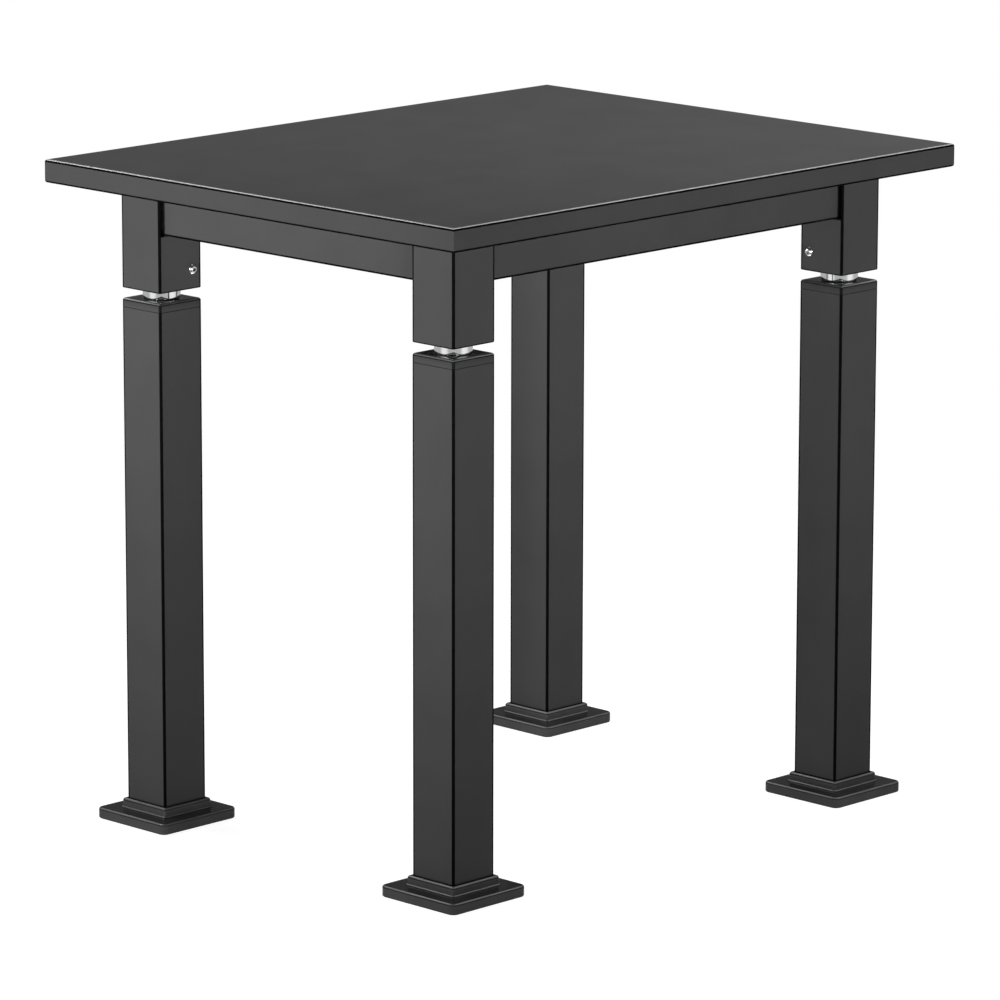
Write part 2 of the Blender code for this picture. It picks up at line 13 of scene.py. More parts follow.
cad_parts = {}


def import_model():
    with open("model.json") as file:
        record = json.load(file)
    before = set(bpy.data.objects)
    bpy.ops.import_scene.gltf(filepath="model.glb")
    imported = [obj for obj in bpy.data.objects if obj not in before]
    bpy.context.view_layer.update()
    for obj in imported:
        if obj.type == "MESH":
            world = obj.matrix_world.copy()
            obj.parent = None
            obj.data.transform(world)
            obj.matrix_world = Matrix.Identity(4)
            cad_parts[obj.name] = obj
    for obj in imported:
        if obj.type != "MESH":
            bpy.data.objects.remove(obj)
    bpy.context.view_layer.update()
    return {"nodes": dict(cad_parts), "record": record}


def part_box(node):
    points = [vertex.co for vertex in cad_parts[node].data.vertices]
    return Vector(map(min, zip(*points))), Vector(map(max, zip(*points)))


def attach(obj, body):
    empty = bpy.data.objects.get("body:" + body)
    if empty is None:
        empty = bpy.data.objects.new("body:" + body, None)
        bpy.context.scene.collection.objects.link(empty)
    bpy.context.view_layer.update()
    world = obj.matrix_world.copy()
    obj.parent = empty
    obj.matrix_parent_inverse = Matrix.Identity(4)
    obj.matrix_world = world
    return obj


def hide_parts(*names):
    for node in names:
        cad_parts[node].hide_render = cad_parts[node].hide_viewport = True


# Camera, solved from the straight edges of the photograph
CAMERA_PLACE = (-4.7274, -4.6364, 1.7888)
CAMERA_YAW = math.radians(44.4702)
CAMERA_PITCH = math.radians(12.3038)
CAMERA_ROLL = math.radians(0.107)
SENSOR_WIDTH = 36.0
LENS = 222.68
CLIP_END = 100

# Corners of the table, with the quarter turns that face a post's inner sides inwards
CORNERS = {"front_left": 0, "front_right": 1, "back_right": 2, "back_left": 3}

# Worktop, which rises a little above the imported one
TOP_EDGE_ROUND = 0.003
TOP_RISE = 0.0010
TOP_CORNER_ROUND = 0.0009

# Square tube of the posts and legs; a post has notches, and reaches a little lower than packed
TUBE_WALL = 0.002
TUBE_CORNER_ROUND = 0.0010
TUBE_END_ROUND = 0.0017
POST_DROP = 0.0006
NOTCH_CORNER_ROUND = 0.002
FIT_GAP = 0.0003

# Rails between the posts, which reach a little lower than packed
RAIL_WALL = 0.002
RAIL_CORNER_ROUND = 0.0028
RAIL_DROP = 0.0009

# Foot: plate, socket for the tube, and the collar round it
FOOT_PLATE_THICKNESS = 0.0121
FOOT_CORNER_ROUND = 0.008
FOOT_EDGE_ROUND = 0.0025
FOOT_CHAMFER = 0.0012
FOOT_FLOOR = 0.005
SOCKET_REACH = 0.0303
SOCKET_CORNER_ROUND = 0.0012
SOCKET_LEAD_IN = 0.0012
COLLAR_REACH = 0.0347
COLLAR_BEAD = 0.0017
COLLAR_DROP = 0.0013
COLLAR_EDGE_ROUND = 0.003
COLLAR_CORNER_ROUND = 0.003

# Cap of a leg and the nut sunk into it
CAP_RIM_HEIGHT = 0.010
CAP_EDGE_ROUND = 0.003
PLUG_REACH = 0.0277
PLUG_CORNER_ROUND = 0.002
NUT_BORE = 0.0123
NUT_RADIUS = 0.0155
NUT_FLANGE_THICKNESS = 0.003
NUT_CHAMFER = 0.0005
CAP_BORE_GAP = 0.0004

# Spindle; a row of the thread's form is a share of the pitch and a share of the depth
HEX_ACROSS_FLATS = 0.040
HEX_HEIGHT = 0.016
HEX_FACE_RADIUS = 0.0193
HEX_CHAMFER_SLOPE = 1.1
HEX_TURN = math.radians(45)
THREAD_RADIUS = 0.012
THREAD_PITCH = 0.005
THREAD_DEPTH = 0.00275
THREAD_FORM = ((0.0, 0.0), (0.06, 0.93), (0.10, 1.0), (0.40, 1.0), (0.44, 0.93), (0.50, 0.0))
JOURNAL_RADIUS = 0.011
GROOVE_RADIUS = 0.0098
PILOT_LENGTH = 0.005
SPINDLE_CHAMFER = 0.001
SEAT_GAP = 0.0003
SPARE_TURNS = 2
HEX_BREAK = 0.0007
HEX_BREAK_STEPS = 3
HEX_SHARP = math.radians(15)
HEX_UPRIGHT = 0.1

# Button-head screw
SCREW_HEAD_RADIUS = 0.0055
SCREW_HEAD_HEIGHT = 0.0033
SCREW_HEAD_RIM = 0.0008
SCREW_SHANK_RADIUS = 0.003
SCREW_SOCKET_ACROSS_FLATS = 0.004
SCREW_SOCKET_DEPTH = 0.002
SCREW_SOCKET_LEAD = 0.0003
SCREW_CROWN_ARC = math.radians(60)

# Lamps, in watts
KEY_POWER = 5.5
FILL_POWER = 3.5
BACK_POWER = 22.0
SIDE_POWER = 13.0
TOP_POWER = 4.0
UNDER_POWER = 0.6

# Surround: its light, and the tones that the object mirrors, by height, by side and near the camera
AMBIENT = 0.01
SURROUND_HORIZON = (-0.14, 0.0)
SURROUND_TOP = (0.65, 0.85)
SURROUND_NEAR = (-0.6, -0.4)
SURROUND_NEAR_AZIMUTH = 225.0
SURROUND_ABOVE = 0.10
SURROUND_TONE = 0.52
BRIGHT_SIDES = (170.0, 295.0)
BRIGHT_SIDE_EDGE = (0.88, 0.985)
BRIGHT_SIDE_TONE = 1.0

# Floor, which the object mirrors as a painted pool of light: a glow seen in reflections that ends some way
# out
FLOOR_RADIUS = 1.6
FLOOR_GAP = 0.0005
FLOOR_COLOUR = (0.35, 0.35, 0.35)
FLOOR_ROUGHNESS = 0.9
FLOOR_GLOW = (0.92, 0.92, 0.92)
FLOOR_POOL = (0.42, 0.50)
FLOOR_FAR = 0.15

# Colours of the finishes, and the share that is left of them on lines of painted shade
WORKTOP_COLOUR = (0.081, 0.081, 0.081)
COAT_COLOUR = (0.0925, 0.0925, 0.0925)
PLASTIC_COLOUR = (0.108, 0.108, 0.108)
CHROME_COLOUR = (0.77, 0.775, 0.78)
STEEL_COLOUR = (0.52, 0.52, 0.53)
BRONZE_COLOUR = (0.55, 0.38, 0.18)
EDGE_SHADE = 0.06

# Painted surfaces: spread of shade and roughness, and the scale and relief of grain and unevenness
NOISE_SPAN = (0.3, 0.7)
SHADE_SPREAD = 0.05
ROUGHNESS_SPREAD = 0.05
MOTTLE_SCALE = 14
COAT_ROUGHNESS = 0.48
COAT_SPECULAR = 0.08
COAT_GRAIN_SCALE = 1500
COAT_PEEL_SCALE = 380
WORKTOP_ROUGHNESS = 0.50
WORKTOP_SPECULAR = 0.05
WORKTOP_GRAIN_SCALE = 1900
WORKTOP_PEEL_SCALE = 420
GRAIN_DEPTH = 0.00006
GRAIN_STRENGTH = 0.35
PEEL_DEPTH = 0.00012
PEEL_STRENGTH = 0.18

# Plastic of the feet
PLASTIC_SPREAD = 0.10
PLASTIC_MOTTLE_SCALE = 30
PLASTIC_ROUGHNESS = (0.07, 0.12)
PLASTIC_EDGE_ROUGHNESS = (0.38, 0.45)
RIPPLE_SCALE = 180
RIPPLE_DEPTH = 0.00005
RIPPLE_STRENGTH = 0.006

# Bright metal: clouds in its polish, and turning lines that are close along the axis
CLOUD_SCALE = 60
POLISH_SPREAD = (0.8, 1.25)
LINE_SCALE = (90, 90, 9000)
LINE_DEPTH = 0.00002

# Gloss of edges and tops, and the share of the feet's colour left under painted shade on their tops and below
# their edge highlights
EDGE_SPECULAR = 2.3
CAP_EDGE_SPECULAR = 2.2
CAP_TOP_SPECULAR = 3.2
CAP_TOP_ROUGHNESS = (0.03, 0.06)
CAP_TOP_BUMP = 0.004
CAP_POLISH_SCALE = 120
FOOT_EDGE_SPECULAR = 1.05
FOOT_TOP_SPECULAR = 0.36
FOOT_SIDE_SPECULAR = 0.10
FOOT_TOP_SHADE_SHARE = 0.22
FOOT_EDGE_SHADE_SHARE = 0.4

# Glossy bright lines, and dark lines of painted shade, on rounded edges, and tops, by how far the surface
# faces up
EDGE_BRIGHT = (0.64, 0.76, 0.985, 0.999)
EDGE_DARK = (0.0, 0.05, 0.62, 0.72)
TOP_LOWER_EDGE = (-0.98, -0.92, -0.32, -0.06)
RAIL_LOWER_EDGE = (-0.995, -0.97, -0.12, -0.02)
CAP_EDGE_BRIGHT = (0.36, 0.48, 0.76, 0.86)
CAP_EDGE_DARK = (0.0, 0.05, 0.30, 0.42)
CAP_TOP_LEVEL = (0.96, 0.995)
FOOT_EDGE = (0.48, 0.62, 0.97, 0.995)
FOOT_EDGE_DARK = (0.02, 0.08, 0.38, 0.48)
FOOT_TOP_LEVEL = (0.6, 0.95)
TUBE_TOP_LEVEL = (0.9, 0.98)

# Painted shade: dark lines at square edges and upright corners, and darkening in slots and at contacts; the
# last two are a reach and two opennesses
SQUARE = (0.955, 0.999)
CORNER_LINE = (0.0272, 0.0280)
EDGE_WIDTH = 0.0009
POST_EDGE_SHARE = 0.1
LEG_EDGE_SHARE = 0.5
SLOT = (0.02, 0.15, 0.42)
CONTACT = (0.004, 0.50, 0.80)

# Fineness of the new pieces, of the smoothing and of the shading
CORNER_STEPS = 10
ROUND_STEPS = 6
TURN_STEPS = 96
HEX_SIDE_STEPS = 24
THREAD_STEPS = 36
SCREW_STEPS = 48
HEX_SIDES = 6
SHADER_SAMPLES = 8
NORMAL_WEIGHT = 100
LEAST_ROUND = 0.0004
WELD_DISTANCE = 0.00001
SMOOTH_ANGLE = math.radians(32)


def ring_rectangle(reach_x, reach_y, corner, level):
    """Points round a rectangle with round corners, from its half sides."""
    ring = []
    for quarter, (sx, sy) in enumerate(((1, 1), (-1, 1), (-1, -1), (1, -1))):
        for step in range(CORNER_STEPS + 1):
            angle = math.pi / 2 * (quarter + step / CORNER_STEPS)
            x = sx * (reach_x - corner) + corner * math.cos(angle)
            y = sy * (reach_y - corner) + corner * math.sin(angle)
            ring.append((x, y, level))
    return ring


def ring_square(reach, corner, level):
    return ring_rectangle(reach, reach, corner, level)


def drawn_in(full_reach, full_corner, reach, level):
    """A ring whose sides and corners are drawn in from its full reach."""
    return ring_square(reach, max(full_corner - (full_reach - reach), LEAST_ROUND), level)


def ring_round(radius, level, steps):
    """Points round a circle."""
    angles = [2 * math.pi * step / steps for step in range(steps)]
    return [(radius * math.cos(angle), radius * math.sin(angle), level) for angle in angles]


def quarter_round(reach, radius, level):
    """(reach, level) pairs round an outer edge, from the side up to the top."""
    pairs = []
    for step in range(ROUND_STEPS + 1):
        angle = math.pi / 2 * step / ROUND_STEPS
        pairs.append((reach - radius + radius * math.cos(angle), level - radius + radius * math.sin(angle)))
    return pairs


def add_skin(form, rings, joined=False):
    """Adds a closed form through a stack of rings, capped at both ends or joined into a loop."""
    loops = [[form.verts.new(point) for point in ring] for ring in rings]
    pairs = list(zip(loops, loops[1:]))
    if joined:
        pairs.append((loops[-1], loops[0]))
    else:
        form.faces.new(loops[0])
        form.faces.new(loops[-1])
    for lower, upper in pairs:
        for i in range(len(lower)):
            j = (i + 1) % len(lower)
            form.faces.new((lower[i], lower[j], upper[j], upper[i]))


def add_turned(form, levels, steps, joined=False):
    """Adds a turned form from its (radius, level) pairs."""
    add_skin(form, [ring_round(radius, level, steps) for radius, level in levels], joined)


def mesh_from(name, form):
    """The mesh of a form, smooth up to its sharp edges."""
    bmesh.ops.recalc_face_normals(form, faces=form.faces)
    mesh = bpy.data.meshes.new(name)
    form.to_mesh(mesh)
    form.free()
    mesh.shade_smooth()
    mesh.set_sharp_from_angle(angle=SMOOTH_ANGLE)
    return mesh


def new_object(name, data):
    """A new object in the scene."""
    obj = bpy.data.objects.new(name, data)
    bpy.context.scene.collection.objects.link(obj)
    return obj


def worktop_mesh(low, high):
    """The worktop: a slab with lightly rounded edges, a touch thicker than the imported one."""
    crest = high.z + TOP_RISE
    upper = quarter_round(0.0, TOP_EDGE_ROUND, crest)
    lower = [(inset, low.z + crest - level) for inset, level in reversed(upper)]
    rings = []
    for inset, level in lower + upper:
        corner = max(TOP_CORNER_ROUND + inset, LEAST_ROUND)
        rings.append(ring_rectangle(high.x + inset, high.y + inset, corner, level))
    form = bmesh.new()
    add_skin(form, rings)
    return mesh_from("worktop_fine", form)


def foot_mesh(low, high):
    """A stepped foot: square plate, collar with a bead round its base, and the socket for the tube."""
    half = (high.x - low.x) / 2
    crest = high.z - COLLAR_DROP
    plate_top = low.z + FOOT_PLATE_THICKNESS
    plate_edge = [(half - FOOT_CHAMFER, low.z), (half, low.z + FOOT_CHAMFER)]
    plate_edge += quarter_round(half, FOOT_EDGE_ROUND, plate_top)
    collar_side = quarter_round(COLLAR_REACH + COLLAR_BEAD, COLLAR_BEAD, plate_top + COLLAR_BEAD)
    collar_side += quarter_round(COLLAR_REACH, COLLAR_EDGE_ROUND, crest)
    rings = [drawn_in(half, FOOT_CORNER_ROUND, reach, level) for reach, level in plate_edge]
    rings += [drawn_in(COLLAR_REACH, COLLAR_CORNER_ROUND, reach, level) for reach, level in collar_side]
    rings.append(ring_square(SOCKET_REACH + SOCKET_LEAD_IN, SOCKET_CORNER_ROUND + SOCKET_LEAD_IN, crest))
    rings.append(ring_square(SOCKET_REACH, SOCKET_CORNER_ROUND, crest - SOCKET_LEAD_IN))
    rings.append(ring_square(SOCKET_REACH, SOCKET_CORNER_ROUND, low.z + FOOT_FLOOR))
    form = bmesh.new()
    add_skin(form, rings)
    return mesh_from("foot_fine", form)


def square_tube(half, low, high):
    """A square tube whose lower end is slightly rounded on its outside."""
    bore = half - TUBE_WALL
    rings = []
    for step in range(ROUND_STEPS + 1):
        angle = math.pi / 2 * step / ROUND_STEPS
        reach = half - TUBE_END_ROUND * (1 - math.sin(angle))
        level = low + TUBE_END_ROUND * (1 - math.cos(angle))
        rings.append(drawn_in(half, TUBE_CORNER_ROUND, reach, level))
    rings.append(ring_square(half, TUBE_CORNER_ROUND, high))
    rings += [ring_square(bore, LEAST_ROUND, high), ring_square(bore, LEAST_ROUND, low)]
    form = bmesh.new()
    add_skin(form, rings, joined=True)
    return form


def tube_mesh(low, high):
    """The tube of a leg."""
    return mesh_from("tube_fine", square_tube((high.x - low.x) / 2, low.z, high.z))


def notch_outline(first, last, floor, top):
    """The outline of a rail's notch, open at the top and round at its lower corners."""
    outline = [(first, top)]
    corners = ((first + NOTCH_CORNER_ROUND, math.pi), (last - NOTCH_CORNER_ROUND, 1.5 * math.pi))
    for centre, start in corners:
        for step in range(ROUND_STEPS + 1):
            angle = start + math.pi / 2 * step / ROUND_STEPS
            level = floor + NOTCH_CORNER_ROUND * (1 + math.sin(angle))
            outline.append((centre + NOTCH_CORNER_ROUND * math.cos(angle), level))
    outline.append((last, top))
    return outline


def rail_mesh(depth, height, length):
    """A rail: a rectangular tube with round corners, made upright."""
    bore = (depth / 2 - RAIL_WALL, height / 2 - RAIL_WALL, LEAST_ROUND)
    skin = (depth / 2, height / 2, RAIL_CORNER_ROUND)
    ends = ((skin, -length / 2), (skin, length / 2), (bore, length / 2), (bore, -length / 2))
    form = bmesh.new()
    add_skin(form, [ring_rectangle(*section, level) for section, level in ends], joined=True)
    return mesh_from("rail_fine", form)


def post_mesh(low, high, rail_inner, rail_bottom, screw):
    """A post: a square tube with a notch for each rail and a hole for each screw in its inner sides."""
    half = (high.x - low.x) / 2
    top = high.z + TUBE_WALL
    floor = rail_bottom - RAIL_DROP - FIT_GAP
    notch = notch_outline(TUBE_WALL - half, rail_inner + FIT_GAP, floor, top)
    ring = ring_round(SCREW_SHANK_RADIUS + FIT_GAP, 0.0, SCREW_STEPS)
    hole = [(screw.y + side, screw.z + rise) for side, rise, _ in ring]
    depths = (half - 2 * TUBE_WALL, half + TUBE_WALL)
    cutters = bmesh.new()
    for outline in (notch, hole):
        add_skin(cutters, [[(depth, side, level) for side, level in outline] for depth in depths])
        add_skin(cutters, [[(side, depth, level) for side, level in outline] for depth in depths])
    return cut("post_fine", square_tube(half, low.z - POST_DROP, high.z), cutters)


def cap_mesh(low, high, flange):
    """The cap of a leg: rim with a rounded top edge, plug, and a stepped round bore for the nut."""
    half = (high.x - low.x) / 2
    seam = high.z - CAP_RIM_HEIGHT
    outer = [ring_square(PLUG_REACH, PLUG_CORNER_ROUND, level) for level in (low.z, seam)]
    outer.append(ring_square(half, TUBE_CORNER_ROUND, seam))
    for reach, level in quarter_round(half, CAP_EDGE_ROUND, high.z):
        outer.append(drawn_in(half, TUBE_CORNER_ROUND, reach, level))
    form = bmesh.new()
    add_skin(form, outer)
    narrow = NUT_RADIUS + CAP_BORE_GAP
    wide = flange + CAP_BORE_GAP
    step = high.z - NUT_FLANGE_THICKNESS - CAP_BORE_GAP
    bore = bmesh.new()
    below = low.z - CAP_RIM_HEIGHT
    above = high.z + CAP_RIM_HEIGHT
    levels = [(narrow, below), (narrow, step), (wide, step), (wide, above)]
    add_turned(bore, levels, TURN_STEPS)
    return cut("cap_fine", form, bore)


def cut(name, form, cutter):
    """The mesh of a form after one exact Boolean cut."""
    helpers = []
    for part in (form, cutter):
        bmesh.ops.recalc_face_normals(part, faces=part.faces)
        mesh = bpy.data.meshes.new("helper")
        part.to_mesh(mesh)
        part.free()
        helpers.append(new_object("helper", mesh))
    modifier = helpers[0].modifiers.new("cut", "BOOLEAN")
    modifier.operation = "DIFFERENCE"
    modifier.solver = "EXACT"
    modifier.object = helpers[1]
    bpy.context.view_layer.update()
    graph = bpy.context.evaluated_depsgraph_get()
    mesh = bpy.data.meshes.new_from_object(helpers[0].evaluated_get(graph))
    mesh.name = name
    for obj in helpers:
        bpy.data.objects.remove(obj, do_unlink=True)
    mesh.shade_smooth()
    mesh.set_sharp_from_angle(angle=SMOOTH_ANGLE)
    return mesh


def nut_mesh(low, high):
    """The nut of a leg, a plain bush with a flange."""
    flange = (high.x - low.x) / 2
    seat = high.z - NUT_FLANGE_THICKNESS
    levels = [
        (NUT_RADIUS, low.z),
        (NUT_RADIUS, seat),
        (flange, seat),
        (flange, high.z - NUT_CHAMFER),
        (flange - NUT_CHAMFER, high.z),
        (NUT_BORE + NUT_CHAMFER, high.z),
        (NUT_BORE, high.z - NUT_CHAMFER),
        (NUT_BORE, low.z),
    ]
    form = bmesh.new()
    add_turned(form, levels, TURN_STEPS, joined=True)
    return mesh_from("nut_fine", form)


def hexagon(bottom, top):
    """The spanner hexagon, its corners turned off to a cone at both ends and its edges broken."""
    apothem = HEX_ACROSS_FLATS / 2
    rings = [[], [], [], []]
    arc = 2 * math.pi / HEX_SIDES
    for side in range(HEX_SIDES):
        for step in range(HEX_SIDE_STEPS):
            lean = arc * (step / HEX_SIDE_STEPS - 0.5)
            angle = HEX_TURN + arc / 2 + arc * side + lean
            radius = apothem / math.cos(lean)
            rise = HEX_CHAMFER_SLOPE * (radius - HEX_FACE_RADIUS)
            heights = (bottom, bottom + rise, top - rise, top)
            reaches = (HEX_FACE_RADIUS, radius, radius, HEX_FACE_RADIUS)
            for ring, reach, height in zip(rings, reaches, heights):
                ring.append((reach * math.cos(angle), reach * math.sin(angle), height))
    form = bmesh.new()
    add_skin(form, rings)
    bmesh.ops.recalc_face_normals(form, faces=form.faces)
    sharp = [edge for edge in form.edges if edge.calc_face_angle() > HEX_SHARP]
    bmesh.ops.bevel(
        form, geom=sharp, offset=HEX_BREAK, segments=HEX_BREAK_STEPS, profile=0.5, affect="EDGES")
    return form


def thread_coil(low, turns):
    """A right-hand trapezoidal thread as one open sheet, from some turns below a level."""
    core = THREAD_RADIUS - THREAD_DEPTH
    coil = bmesh.new()
    rows = []
    for turn in range(turns):
        for share, height in THREAD_FORM:
            radius = core + THREAD_DEPTH * height
            row = []
            for step in range(THREAD_STEPS):
                angle = 2 * math.pi * step / THREAD_STEPS
                level = low + THREAD_PITCH * (turn - SPARE_TURNS + share + step / THREAD_STEPS)
                row.append(coil.verts.new((radius * math.cos(angle), radius * math.sin(angle), level)))
            rows.append(row)
    per_turn = len(THREAD_FORM)
    last = THREAD_STEPS - 1
    for k in range(len(rows) - per_turn - 1):
        lower, upper = rows[k], rows[k + 1]
        for step in range(last):
            coil.faces.new((lower[step], lower[step + 1], upper[step + 1], upper[step]))
        next_lower, next_upper = rows[k + per_turn], rows[k + per_turn + 1]
        coil.faces.new((lower[last], next_lower[0], next_upper[0], upper[last]))
    return coil


def add_thread(form, low, high):
    """Adds the thread, cut square at both ends and closed."""
    coil = thread_coil(low, math.ceil((high - low) / THREAD_PITCH) + 2 * SPARE_TURNS)
    for level, outward in ((low, -1), (high, 1)):
        bmesh.ops.bisect_plane(
            coil, geom=coil.verts[:] + coil.edges[:] + coil.faces[:], dist=WELD_DISTANCE,
            plane_co=(0, 0, level), plane_no=(0, 0, outward), clear_outer=True)
        rim = []
        for edge in coil.edges:
            if all(abs(vert.co.z - level) < WELD_DISTANCE for vert in edge.verts):
                rim.append(edge)
        bmesh.ops.contextual_create(coil, geom=rim)
    loose = [vert for vert in coil.verts if not vert.link_faces]
    bmesh.ops.delete(coil, geom=loose, context="VERTS")
    mesh = bpy.data.meshes.new("coil")
    coil.to_mesh(mesh)
    coil.free()
    form.from_mesh(mesh)
    bpy.data.meshes.remove(mesh)


def spindle_mesh(low, high, hex_bottom, groove):
    """The screw of a leg: guide end, thread, spanner hexagon and the journal with its ring groove."""
    form = hexagon(hex_bottom, hex_bottom + HEX_HEIGHT)
    core = THREAD_RADIUS - THREAD_DEPTH
    add_thread(form, low.z + PILOT_LENGTH, hex_bottom + HEX_HEIGHT / 4)
    shaft = [
        (core - 2 * SPINDLE_CHAMFER, low.z),
        (core - SPINDLE_CHAMFER, low.z + SPINDLE_CHAMFER),
        (core - SPINDLE_CHAMFER, low.z + PILOT_LENGTH),
        (core + LEAST_ROUND, low.z + PILOT_LENGTH),
        (core + LEAST_ROUND, hex_bottom + HEX_HEIGHT / 2),
        (JOURNAL_RADIUS, hex_bottom + HEX_HEIGHT / 2),
        (JOURNAL_RADIUS, groove[0]),
        (GROOVE_RADIUS, groove[0]),
        (GROOVE_RADIUS, groove[1]),
        (JOURNAL_RADIUS, groove[1]),
        (JOURNAL_RADIUS, high.z - SPINDLE_CHAMFER),
        (JOURNAL_RADIUS - SPINDLE_CHAMFER, high.z),
    ]
    add_turned(form, shaft, TURN_STEPS)
    mesh = mesh_from("spindle_fine", form)
    round_shaded(mesh)
    return mesh


def round_shaded(mesh):
    """Shades the hexagon's upright sides as one round, so that they mirror much of the surround."""
    normals = [Vector() for _ in mesh.loops]
    for face in mesh.polygons:
        reach = math.hypot(face.center.x, face.center.y)
        if reach < HEX_FACE_RADIUS or abs(face.normal.z) > HEX_UPRIGHT:
            continue
        for index in face.loop_indices:
            corner = mesh.vertices[mesh.loops[index].vertex_index].co
            normals[index] = Vector((corner.x, corner.y, 0)).normalized()
    mesh.normals_split_custom_set(normals)


def screw_mesh(length):
    """A button-head screw with a hex socket, head up, its seat at the origin."""
    crown = SCREW_HEAD_HEIGHT - SCREW_HEAD_RIM
    levels = [(SCREW_SHANK_RADIUS, -length), (SCREW_SHANK_RADIUS, 0.0)]
    levels += [(SCREW_HEAD_RADIUS, 0.0), (SCREW_HEAD_RADIUS, SCREW_HEAD_RIM)]
    for step in range(1, ROUND_STEPS + 1):
        angle = SCREW_CROWN_ARC * step / ROUND_STEPS
        rise = crown * math.sin(angle) / math.sin(SCREW_CROWN_ARC)
        levels.append((SCREW_HEAD_RADIUS * math.cos(angle), SCREW_HEAD_RIM + rise))
    form = bmesh.new()
    add_turned(form, levels, SCREW_STEPS)
    socket = bmesh.new()
    corner = SCREW_SOCKET_ACROSS_FLATS / 2 / math.cos(math.pi / HEX_SIDES)
    depths = [
        (corner, SCREW_HEAD_HEIGHT - SCREW_SOCKET_DEPTH),
        (corner, SCREW_HEAD_HEIGHT - SCREW_SOCKET_LEAD),
        (corner + 2 * SCREW_SOCKET_LEAD, SCREW_HEAD_HEIGHT + SCREW_SOCKET_LEAD),
    ]
    add_turned(socket, depths, HEX_SIDES)
    return cut("screw_fine", form, socket)


def new_material(name):
    """A new material with its node tree, its shader and the object's own coordinates."""
    made = bpy.data.materials.new(name)
    made.use_nodes = True
    tree = made.node_tree
    shader = tree.nodes["Principled BSDF"]
    spot = tree.nodes.new("ShaderNodeTexCoord")
    return made, tree, shader, spot.outputs["Object"]


def noise(tree, spot, scale, detail):
    """A smooth random number that follows the place."""
    node = tree.nodes.new("ShaderNodeTexNoise")
    node.inputs["Scale"].default_value = scale
    node.inputs["Detail"].default_value = detail
    tree.links.new(spot, node.inputs["Vector"])
    return node.outputs["Fac"]


def stretched(tree, spot, scale):
    """Coordinates scaled apart by axis, for streaks."""
    node = tree.nodes.new("ShaderNodeMapping")
    node.inputs["Scale"].default_value = scale
    tree.links.new(spot, node.inputs["Vector"])
    return node.outputs["Vector"]


def combine(tree, operation, first, second):
    """Two numbers combined by a sum, a product, or the larger or smaller of them."""
    node = tree.nodes.new("ShaderNodeMath")
    node.operation = operation
    tree.links.new(first, node.inputs[0])
    tree.links.new(second, node.inputs[1])
    return node.outputs["Value"]


def ramp(tree, value, places, results):
    """A number that runs from one result to the other between two places."""
    node = tree.nodes.new("ShaderNodeMapRange")
    node.inputs["From Min"].default_value, node.inputs["From Max"].default_value = places
    node.inputs["To Min"].default_value, node.inputs["To Max"].default_value = results
    tree.links.new(value, node.inputs["Value"])
    return node.outputs["Result"]


def turned(tree, factor):
    """1 where the factor is 0, and 0 where it is 1."""
    return ramp(tree, factor, (0.0, 1.0), (1.0, 0.0))


def band(tree, value, places):
    """1 between the two middle places, falling to 0 at the outer ones."""
    rising = ramp(tree, value, places[:2], (0.0, 1.0))
    falling = ramp(tree, value, places[2:], (1.0, 0.0))
    return combine(tree, "MULTIPLY", rising, falling)


def between(tree, factor, results):
    """A number that follows a noise from one result to the other."""
    return ramp(tree, factor, NOISE_SPAN, results)


def mixed(tree, factor, first, second):
    """A number that goes from the first to the second as the factor rises."""
    mix = tree.nodes.new("ShaderNodeMix")
    tree.links.new(factor, mix.inputs["Factor"])
    tree.links.new(first, mix.inputs["A"])
    tree.links.new(second, mix.inputs["B"])
    return mix.outputs["Result"]


def shades(tree, factor, colour, spread):
    """A colour that follows a noise from slightly darker to slightly lighter."""
    node = tree.nodes.new("ShaderNodeValToRGB")
    for element, share, place in zip(node.color_ramp.elements, (1 - spread, 1 + spread), NOISE_SPAN):
        element.position = place
        element.color = (*(channel * share for channel in colour), 1)
    tree.links.new(factor, node.inputs["Fac"])
    return node.outputs["Color"]


def bump(tree, height, distance, strength, under=None):
    """A direction that follows a fine relief, laid over another one if there is one."""
    node = tree.nodes.new("ShaderNodeBump")
    node.inputs["Distance"].default_value = distance
    node.inputs["Strength"].default_value = strength
    tree.links.new(height, node.inputs["Height"])
    if under is not None:
        tree.links.new(under, node.inputs["Normal"])
    return node.outputs["Normal"]


def upwardness(tree):
    """How far a surface faces up: 1 level, 0 upright, -1 facing down."""
    surface = tree.nodes.new("ShaderNodeNewGeometry")
    axes = tree.nodes.new("ShaderNodeSeparateXYZ")
    tree.links.new(surface.outputs["Normal"], axes.inputs["Vector"])
    return axes.outputs["Z"]


def openness(tree, reach):
    """How open the space before a surface is, within a reach: near 0 deep in a slot, 1 in the open."""
    space = tree.nodes.new("ShaderNodeAmbientOcclusion")
    space.samples = SHADER_SAMPLES
    space.inputs["Distance"].default_value = reach
    return space.outputs["AO"]


def sizes_by_axis(tree, vector):
    """The three parts of a vector without their signs."""
    size = tree.nodes.new("ShaderNodeVectorMath")
    size.operation = "ABSOLUTE"
    tree.links.new(vector, size.inputs[0])
    axes = tree.nodes.new("ShaderNodeSeparateXYZ")
    tree.links.new(size.outputs["Vector"], axes.inputs["Vector"])
    return axes.outputs["X"], axes.outputs["Y"], axes.outputs["Z"]


def squareness(tree, width):
    """How squarely a surface faces along a main axis, less so where an edge is nearer than the width."""
    rounded = tree.nodes.new("ShaderNodeBevel")
    rounded.samples = SHADER_SAMPLES
    rounded.inputs["Radius"].default_value = width
    x, y, z = sizes_by_axis(tree, rounded.outputs["Normal"])
    return combine(tree, "MAXIMUM", combine(tree, "MAXIMUM", x, y), z)


def levelled(tree, vector):
    """A direction without its height, at full length again."""
    node = tree.nodes.new("ShaderNodeVectorMath")
    node.operation = "NORMALIZE"
    tree.links.new(stretched(tree, vector, (1, 1, 0)), node.inputs[0])
    return node.outputs["Vector"]


